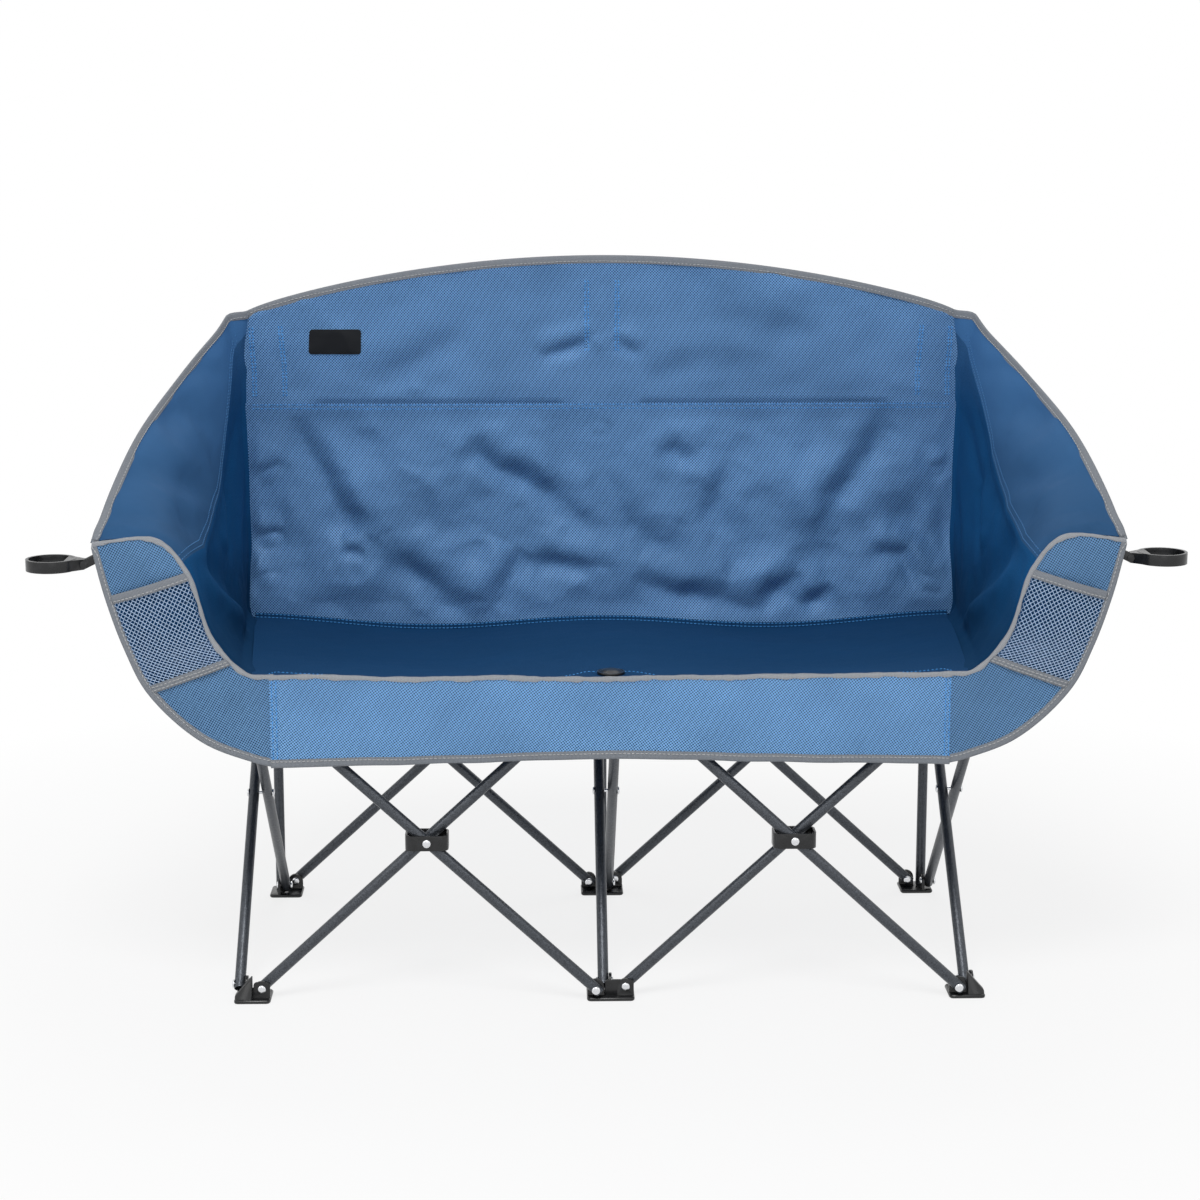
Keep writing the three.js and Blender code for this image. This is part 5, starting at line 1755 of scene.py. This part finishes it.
class LOVESEAT_OT_seat(Operator):
    """Seat halves, their seam to the back, stitched patches and the button"""
    bl_idname = "loveseat.seat"
    bl_label = "Seat"

    def execute(self, context):
        lift = sizes().cloth / 2
        rear = cloth_sheet("seat_rear_cloth", self.seat_part(0, SEAT_FOLD), 200, 60, finish("seat"))
        front = cloth_sheet("seat_front_cloth", self.seat_part(SEAT_FOLD, LIP_SHARE), 200, 36, finish("seat"))
        lip = cloth_sheet("seat_lip_cloth", self.seat_part(LIP_SHARE, 1), 200, 24, finish("seat"))
        hang(rear, "seat_rear", "navy", "seat_rear")
        hang(front, "seat_front", "navy", "seat_front")
        hang(lip, "band", "navy")
        turned = hang(cloth_sheet("seat_seam_strip", self.seam_strip, 200, 5, finish("seat")), "back", "navy")
        rows = [surface_path(self.seam_strip, lambda s, v=v: (s, v), FRONT, 200, lift) for v in (0.40, 0.87)]
        seam = trim("back", sew("seat_seam_stitches", rows, finish("thread")))
        patches = trim("band", sew("seat_patch_stitches", self.patch_rows(lift), finish("thread")))
        declare_cloth(rear)
        declare_cloth(front)
        declare_cloth(lip)
        declare_cloth(turned)
        self.button()
        return {"FINISHED"}

    def seat_part(self, start, stop):
        """Seat cloth between two shares of its way from the back to the lip."""
        return lambda u, v: seat_cloth(u, lerp(start, stop, v))

    def seam_strip(self, u, v):
        """The seat's rear edge, turned up over the foot of the back."""
        x = (2 * u - 1) * (BACK_BOTTOM_HALF - 0.002)
        z = seam_height(x) - 0.003 + v * 0.0108
        across = x / back_half(z)
        return Vector((x, back_depth(across, z) - back_slack(across, z) - 0.0017, z))

    def patch_rows(self, lift):
        """Stitch rows of the reinforcing patches behind the front lip: x and distance from the lip."""
        outlines = [
            [(-0.066, 0.006), (-0.034, 0.034), (0.030, 0.034), (0.063, 0.006)],
            [(0.405, 0.005), (0.474, 0.026), (0.484, 0.008)],
            [(-0.405, 0.005), (-0.474, 0.026), (-0.484, 0.008)],
        ]
        depth = SEAT_REAR_Y - SEAT_FRONT_Y
        rows = []
        for outline in outlines:
            for (ax, ay), (bx, by) in zip(outline, outline[1:]):
                def track(s):
                    along = 1 - lerp(ay, by, s) / depth
                    half = lerp(SEAT_REAR_HALF, SEAT_FRONT_HALF, along)
                    return 0.5 + lerp(ax, bx, s) / (2 * half), along
                rows.append(surface_path(seat_cloth, track, Vector((0, 0, 5)), 24, lift))
        return rows

    def button(self):
        """A domed button with a rolled rim."""
        low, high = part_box("seat_button")
        radius = (high.x - low.x) / 2
        thick = 0.0032
        button = start_primitive(
            bpy.ops.mesh.primitive_cylinder_add, "seat_button_domed", vertices=48, radius=radius,
            depth=thick, location=(0, (low.y + high.y) / 2, low.z + thick / 2))
        settle(button)
        edit_select(button, faces=lambda face: face.normal.z > 0.9)
        bpy.ops.mesh.inset(thickness=0.0026)
        bpy.ops.mesh.extrude_region_move(TRANSFORM_OT_translate={"value": (0, 0, -0.0008)})
        bpy.ops.mesh.inset(thickness=0.0008)
        for step, rise in ((0.0030, 0.0022), (0.0040, 0.0012), (0.0045, 0.0007), (0.003, 0.0003)):
            bpy.ops.mesh.inset(thickness=step, depth=rise)
        leave_edit()
        round_edges(button, 0.0007, 2, 50)
        smooth(button, 45)
        paint(button, "plastic")
        place_piece(button, node_body("seat_button"), "plastic", "seat_button")


class LOVESEAT_OT_front_band(Operator):
    """Front band with its lip, lower tape and upright seams"""
    bl_idname = "loveseat.front_band"
    bl_label = "Front band"

    def execute(self, context):
        lift = sizes().cloth / 2
        band = cloth_sheet("front_band_cloth", band_cloth, 280, 36, finish("band"), upright=True)
        hang(band, "band", "band", "front_band")
        lip = surface_tape(
            "front_lip_tape", band_cloth, lambda s: (s, 0), lambda s: (s, 0.1), FRONT, sizes().lip_tape,
            finish("lip_tape"), 300, LIP_PUCKER, LIP_TAPE_THICK)
        lower = surface_tape(
            "front_lower_tape", band_cloth, *top_tracks(0, 1, 0.9), FRONT, sizes().tape, finish("tape"), 240)
        row = [surface_path(band_cloth, lambda s: (s, 0.937), FRONT, 240, TAPE_LIFT)]
        seams = [
            upright_row(self.felled(start), u, 0, 1, lift)
            for start in FELLED_STARTS.values() for u in (0.3, 0.85)]
        folds = [
            cloth_sheet(f"{side}_felled_seam", self.felled(start), 6, 24, finish("band"), 0.001, upright=True)
            for side, start in FELLED_STARTS.items()]
        pieces = trim(
            "band", lip, lower, *folds, sew("front_tape_stitches", row, finish("pale_thread")),
            sew("front_seam_stitches", seams, finish("thread")))
        declare_cloth(band)
        return {"FINISHED"}

    def felled(self, start):
        """A seam folded flat on the band, about 11 mm wide, from a share of the band's length."""
        def point(u, v):
            spot = band_cloth(start + FELLED_SHARE * u, lerp(0.05, 0.92, v))
            return spot - Vector((0, 0.0003 + 0.0005 * math.sin(math.pi * u) ** 0.5, 0))
        return point


class LOVESEAT_OT_arms(Operator):
    """Arm bands with their tapes and net pockets"""
    bl_idname = "loveseat.arms"
    bl_label = "Arms and pockets"

    def execute(self, context):
        for side, sign in SIDES.items():
            panel = f"{side}_arm"
            point = mirrored(arm_cloth, sign)
            arm = cloth_sheet(f"{side}_arm_cloth", point, 110, 44, finish("arm"), upright=True)
            hang(arm, panel, "band", f"{side}_arm_band")
            inner = surface_tape(
                f"{side}_arm_lip_tape", point, lambda s: (s, 0), lambda s: (s, 0.08), FRONT, sizes().lip_tape,
                finish("lip_tape"), 160, LIP_PUCKER, LIP_TAPE_THICK)
            outer = surface_tape(
                f"{side}_arm_outer_tape", point, lambda s: (s, 1), lambda s: (s, 0.92), FRONT, sizes().tape,
                finish("tape"), 120)
            outer_row = self.inset_row(point)
            pieces = trim(
                panel, inner, outer, sew(f"{side}_arm_tape_stitches", [outer_row], finish("pale_thread")))
            net = self.net(side, sign)
            hang(net, panel, "net", f"{side}_mesh_pocket")
            hems = trim(panel, *self.hems(side, sign))
            # Painted shade: a dark navy sheet behind the net stands in for the shade in the pocket.
            painted_shade_sheet = cloth_sheet(f"{side}_pocket_painted_shade_sheet", self.painted_shade_sheet(sign), 40, 30, finish("seat"), 0.0008)
            hang(painted_shade_sheet, panel, "navy")
            declare_cloth(arm)
            declare_cloth(net)
            declare_cloth(painted_shade_sheet)
        return {"FINISHED"}

    def inset_row(self, point):
        """Path along the tape inside the arm's outer edge."""
        def track(s):
            width = (point(s, 1) - point(s, 0)).length
            return s, 1 - STITCH_INSET / max(0.03, width)
        return surface_path(point, track, FRONT, 120, TAPE_LIFT)

    def net(self, side, sign):
        """Diamond net of knitted cord."""
        point = mirrored(pocket_net, sign)
        pitch = sizes().net_pitch
        rows = int((point(1, 0.5) - point(0, 0.5)).length / pitch) * 2
        columns = int((point(0.5, 1) - point(0.5, 0)).length / pitch)
        spots, index = [], {}
        for r in range(rows + 1):
            for c in range(columns + 1 - r % 2):
                index[r, c] = len(spots)
                spots.append(point(r / rows, (c + 0.5 * (r % 2)) / columns))
        faces = []
        for r in range(1, rows):
            for c in range(columns - r % 2):
                left, right = index[r, c], index[r, c + 1]
                middle = c + r % 2
                low, high = index.get((r - 1, middle)), index.get((r + 1, middle))
                if low is not None and high is not None:
                    faces.append((left, low, right, high))
        mesh = bpy.data.meshes.new(f"{side}_pocket_net")
        mesh.from_pydata(spots, [], faces)
        mesh.materials.append(finish("net"))
        net = new_object(f"{side}_pocket_net", mesh)
        net["width"] = max((point(s / 8, 1) - point(s / 8, 0)).length for s in range(9))
        net["length"] = max((point(1, s / 8) - point(0, s / 8)).length for s in range(9))
        net["area"] = sum(face.area for face in mesh.polygons)
        apply_modifier(net, "WIREFRAME", thickness=sizes().net_cord, use_even_offset=False, offset=0)
        smooth(net, 80)
        return net

    def painted_shade_sheet(self, sign):
        """A navy sheet that lies on the arm band behind the net, as painted shade in the pocket."""
        def point(up, across):
            base = net_point(lerp(0.03, 0.97, up), lerp(0.03, 0.93, across))
            calm = math.sin(math.pi * across)
            fold = 0.0026 * (crumple(Vector((base.x, 6.0, base.z)), 11.0) + 0.5)
            return base - Vector((0, fold * calm + 0.0014, 0))
        return mirrored(point, sign)

    def hems(self, side, sign):
        """Tapes along the net's upper and lower edges."""
        point = mirrored(pocket_net, sign)
        tapes = []
        for name, edge, inside in (("upper", 1, 0.9), ("lower", 0, 0.1)):
            tapes.append(surface_tape(
                f"{side}_net_{name}_hem", point, lambda s: (edge, s), lambda s: (inside, s), FRONT,
                sizes().tape, finish("tape"), 40))
        rows = [
            surface_path(point, lambda s, up=up: (up, s), FRONT, 40, TAPE_LIFT)
            for up in (0.945, 0.02, 0.055)]
        return *tapes, sew(f"{side}_net_hem_stitches", rows, finish("pale_thread"))


class LOVESEAT_OT_wings(Operator):
    """Side wings with their gussets, seams and top tapes"""
    bl_idname = "loveseat.wings"
    bl_label = "Wings"

    def execute(self, context):
        lift = sizes().cloth / 2
        for side, sign in SIDES.items():
            panel = f"{side}_wing"
            above = outer_wing(sign)
            below = gusset(sign)
            wing = cloth_sheet(f"{side}_wing_cloth", above, 90, 44, finish("wing"))
            hang(wing, panel, "navy", f"{side}_side_wing")
            lower = hang(cloth_sheet(f"{side}_gusset_cloth_painted_shade", below, 90, 60, finish("gusset")), panel, "navy")
            tape = surface_tape(
                f"{side}_wing_tape", above, *top_tracks(0.046, 1, 0.9), BUCKET,
                sizes().tape, finish("tape"), 120)
            rows = [
                surface_path(above, self.seam_track(above, gap), BUCKET, 120, lift)
                for gap in (0.004, 0.0115)]
            tape_row = surface_path(above, self.top_track(above), BUCKET, 120, TAPE_LIFT)
            pieces = trim(
                panel, tape, sew(f"{side}_wing_seam_stitches", rows, finish("painted_shade_thread")),
                sew(f"{side}_wing_tape_stitches", [tape_row], finish("pale_thread")))
            declare_cloth(wing)
            declare_cloth(lower)
        return {"FINISHED"}

    def seam_track(self, point, gap):
        """Track a little above the seam."""
        return lambda s: (lerp(0.02, 0.98, s), clamp(gap / max(0.01, (point(s, 1) - point(s, 0)).length)))

    def top_track(self, point):
        """Track along the tape below the top edge."""
        return lambda s: (s, 1 - clamp(STITCH_INSET / max(0.012, (point(s, 1) - point(s, 0)).length)))


# The camera is fitted to the rivets in the photo: metres, degrees and, for its lens and sensor, millimetres
CAMERA_PLACE = (-0.1007, -3.8200, 1.2714)
CAMERA_FALL = 10.824
CAMERA_TURN = -1.369
CAMERA_LENS = 77.14
CAMERA_SENSOR = 36

# Each lamp's name, place, size in metres and power in watts, and the world's share of light
LAMPS = (
    ("key_light", (-0.5, -2.6, 4.3), 1.7, 97),
    ("front_light", (0.4, -4.4, 1.4), 1.8, 9),
    ("left_light", (-3.0, -2.6, 2.2), 2.0, 20),
    ("right_light", (3.0, -2.6, 2.2), 2.0, 13),
    ("back_light", (0.3, 2.8, 3.0), 2.2, 30),
)
LAMP_TARGET = Vector((0, 0, 0.6))
SOFT_LIGHT = 0.33


class LOVESEAT_OT_stage(Operator):
    """Floor, lights, world and camera"""
    bl_idname = "loveseat.stage"
    bl_label = "Studio stage"

    def execute(self, context):
        self.floor()
        self.world(context.scene)
        for name, place, size, power in LAMPS:
            self.lamp(name, place, size, power)
        camera = bpy.data.cameras.new("camera")
        camera.lens = CAMERA_LENS
        camera.sensor_width = CAMERA_SENSOR
        viewer = bpy.data.objects.new("camera", camera)
        viewer.location = CAMERA_PLACE
        viewer.rotation_euler = (math.radians(90 - CAMERA_FALL), 0, math.radians(CAMERA_TURN))
        context.scene.collection.objects.link(viewer)
        context.scene.camera = viewer
        context.scene.view_settings.view_transform = "Standard"
        return {"FINISHED"}

    def seen_directly(self, nodes):
        """1 for rays from the camera, and for reflected or refracted ones."""
        rays = nodes.add("LightPath").outputs
        mirrored_rays = nodes.maths("MAXIMUM", rays["Is Glossy Ray"], rays["Is Transmission Ray"])
        return nodes.maths("MAXIMUM", rays["Is Camera Ray"], mirrored_rays)

    def floor(self):
        """A pale floor that goes over into white away from the object."""
        ground = start_primitive(bpy.ops.mesh.primitive_plane_add, "studio_floor", size=30)
        settle(ground)
        nodes = Nodes("studio_floor")
        place = nodes.spots()
        distance = nodes.add("VectorMath", {0: place}, operation="LENGTH").outputs["Value"]
        far = nodes.maths("MULTIPLY", nodes.ramp(distance, 0.80, 1, 0.8, 1.8), self.seen_directly(nodes))
        nodes.set(Base_Color=(*colours().floor, 1), Roughness=0.9, Specular_IOR_Level=0.1)
        white = nodes.add("Emission", {"Color": (1, 1, 1, 1), "Strength": 1.0})
        mix = nodes.add("MixShader", {0: far, 1: nodes.shader.outputs["BSDF"], 2: white.outputs["Emission"]})
        output = nodes.tree.nodes["Material Output"]
        nodes.tree.links.new(mix.outputs["Shader"], output.inputs["Surface"])
        ground.data.materials.append(nodes.made)

    def world(self, scene):
        """White behind the object, and a plain soft light from all sides."""
        nodes = Nodes("studio", world=True)
        nodes.set(Color=(1, 1, 1, 1), Strength=nodes.ramp(self.seen_directly(nodes), SOFT_LIGHT, 1.0))
        scene.world = nodes.made

    def lamp(self, name, place, size, power):
        """A square soft light that faces the seat."""
        light = bpy.data.lights.new(name, "AREA")
        light.size = size
        light.energy = power
        lamp = bpy.data.objects.new(name, light)
        lamp.location = place
        lamp.rotation_euler = (LAMP_TARGET - lamp.location).to_track_quat("-Z", "Y").to_euler()
        bpy.context.scene.collection.objects.link(lamp)


OPERATORS = (
    LOVESEAT_OT_tubes, LOVESEAT_OT_fittings, LOVESEAT_OT_rivets, LOVESEAT_OT_cup_rings, LOVESEAT_OT_back,
    LOVESEAT_OT_seat, LOVESEAT_OT_front_band, LOVESEAT_OT_arms, LOVESEAT_OT_wings, LOVESEAT_OT_stage)


class LOVESEAT_PT_panel(Panel):
    """Steps of the loveseat, in the order of building"""
    bl_idname = "LOVESEAT_PT_panel"
    bl_label = "Loveseat"
    bl_space_type = "VIEW_3D"
    bl_region_type = "UI"
    bl_category = "Loveseat"

    def draw(self, context):
        for operator in OPERATORS:
            self.layout.operator(operator.bl_idname)
        for group in (context.scene.loveseat_sizes, context.scene.loveseat_colours):
            box = self.layout.box()
            for name in group.bl_rna.properties.keys():
                if name not in ("rna_type", "name"):
                    box.prop(group, name)


CLASSES = (LoveseatSizes, LoveseatColours, *OPERATORS, LOVESEAT_PT_panel)


def register():
    for made in CLASSES:
        bpy.utils.register_class(made)
    bpy.types.Scene.loveseat_sizes = PointerProperty(type=LoveseatSizes)
    bpy.types.Scene.loveseat_colours = PointerProperty(type=LoveseatColours)


def unregister():
    del bpy.types.Scene.loveseat_colours
    del bpy.types.Scene.loveseat_sizes
    for made in reversed(CLASSES):
        bpy.utils.unregister_class(made)


def main():
    register()
    for operator in OPERATORS:
        group, name = operator.bl_idname.split(".")
        getattr(getattr(bpy.ops, group), name)()


if __name__ == "__main__":
    main()
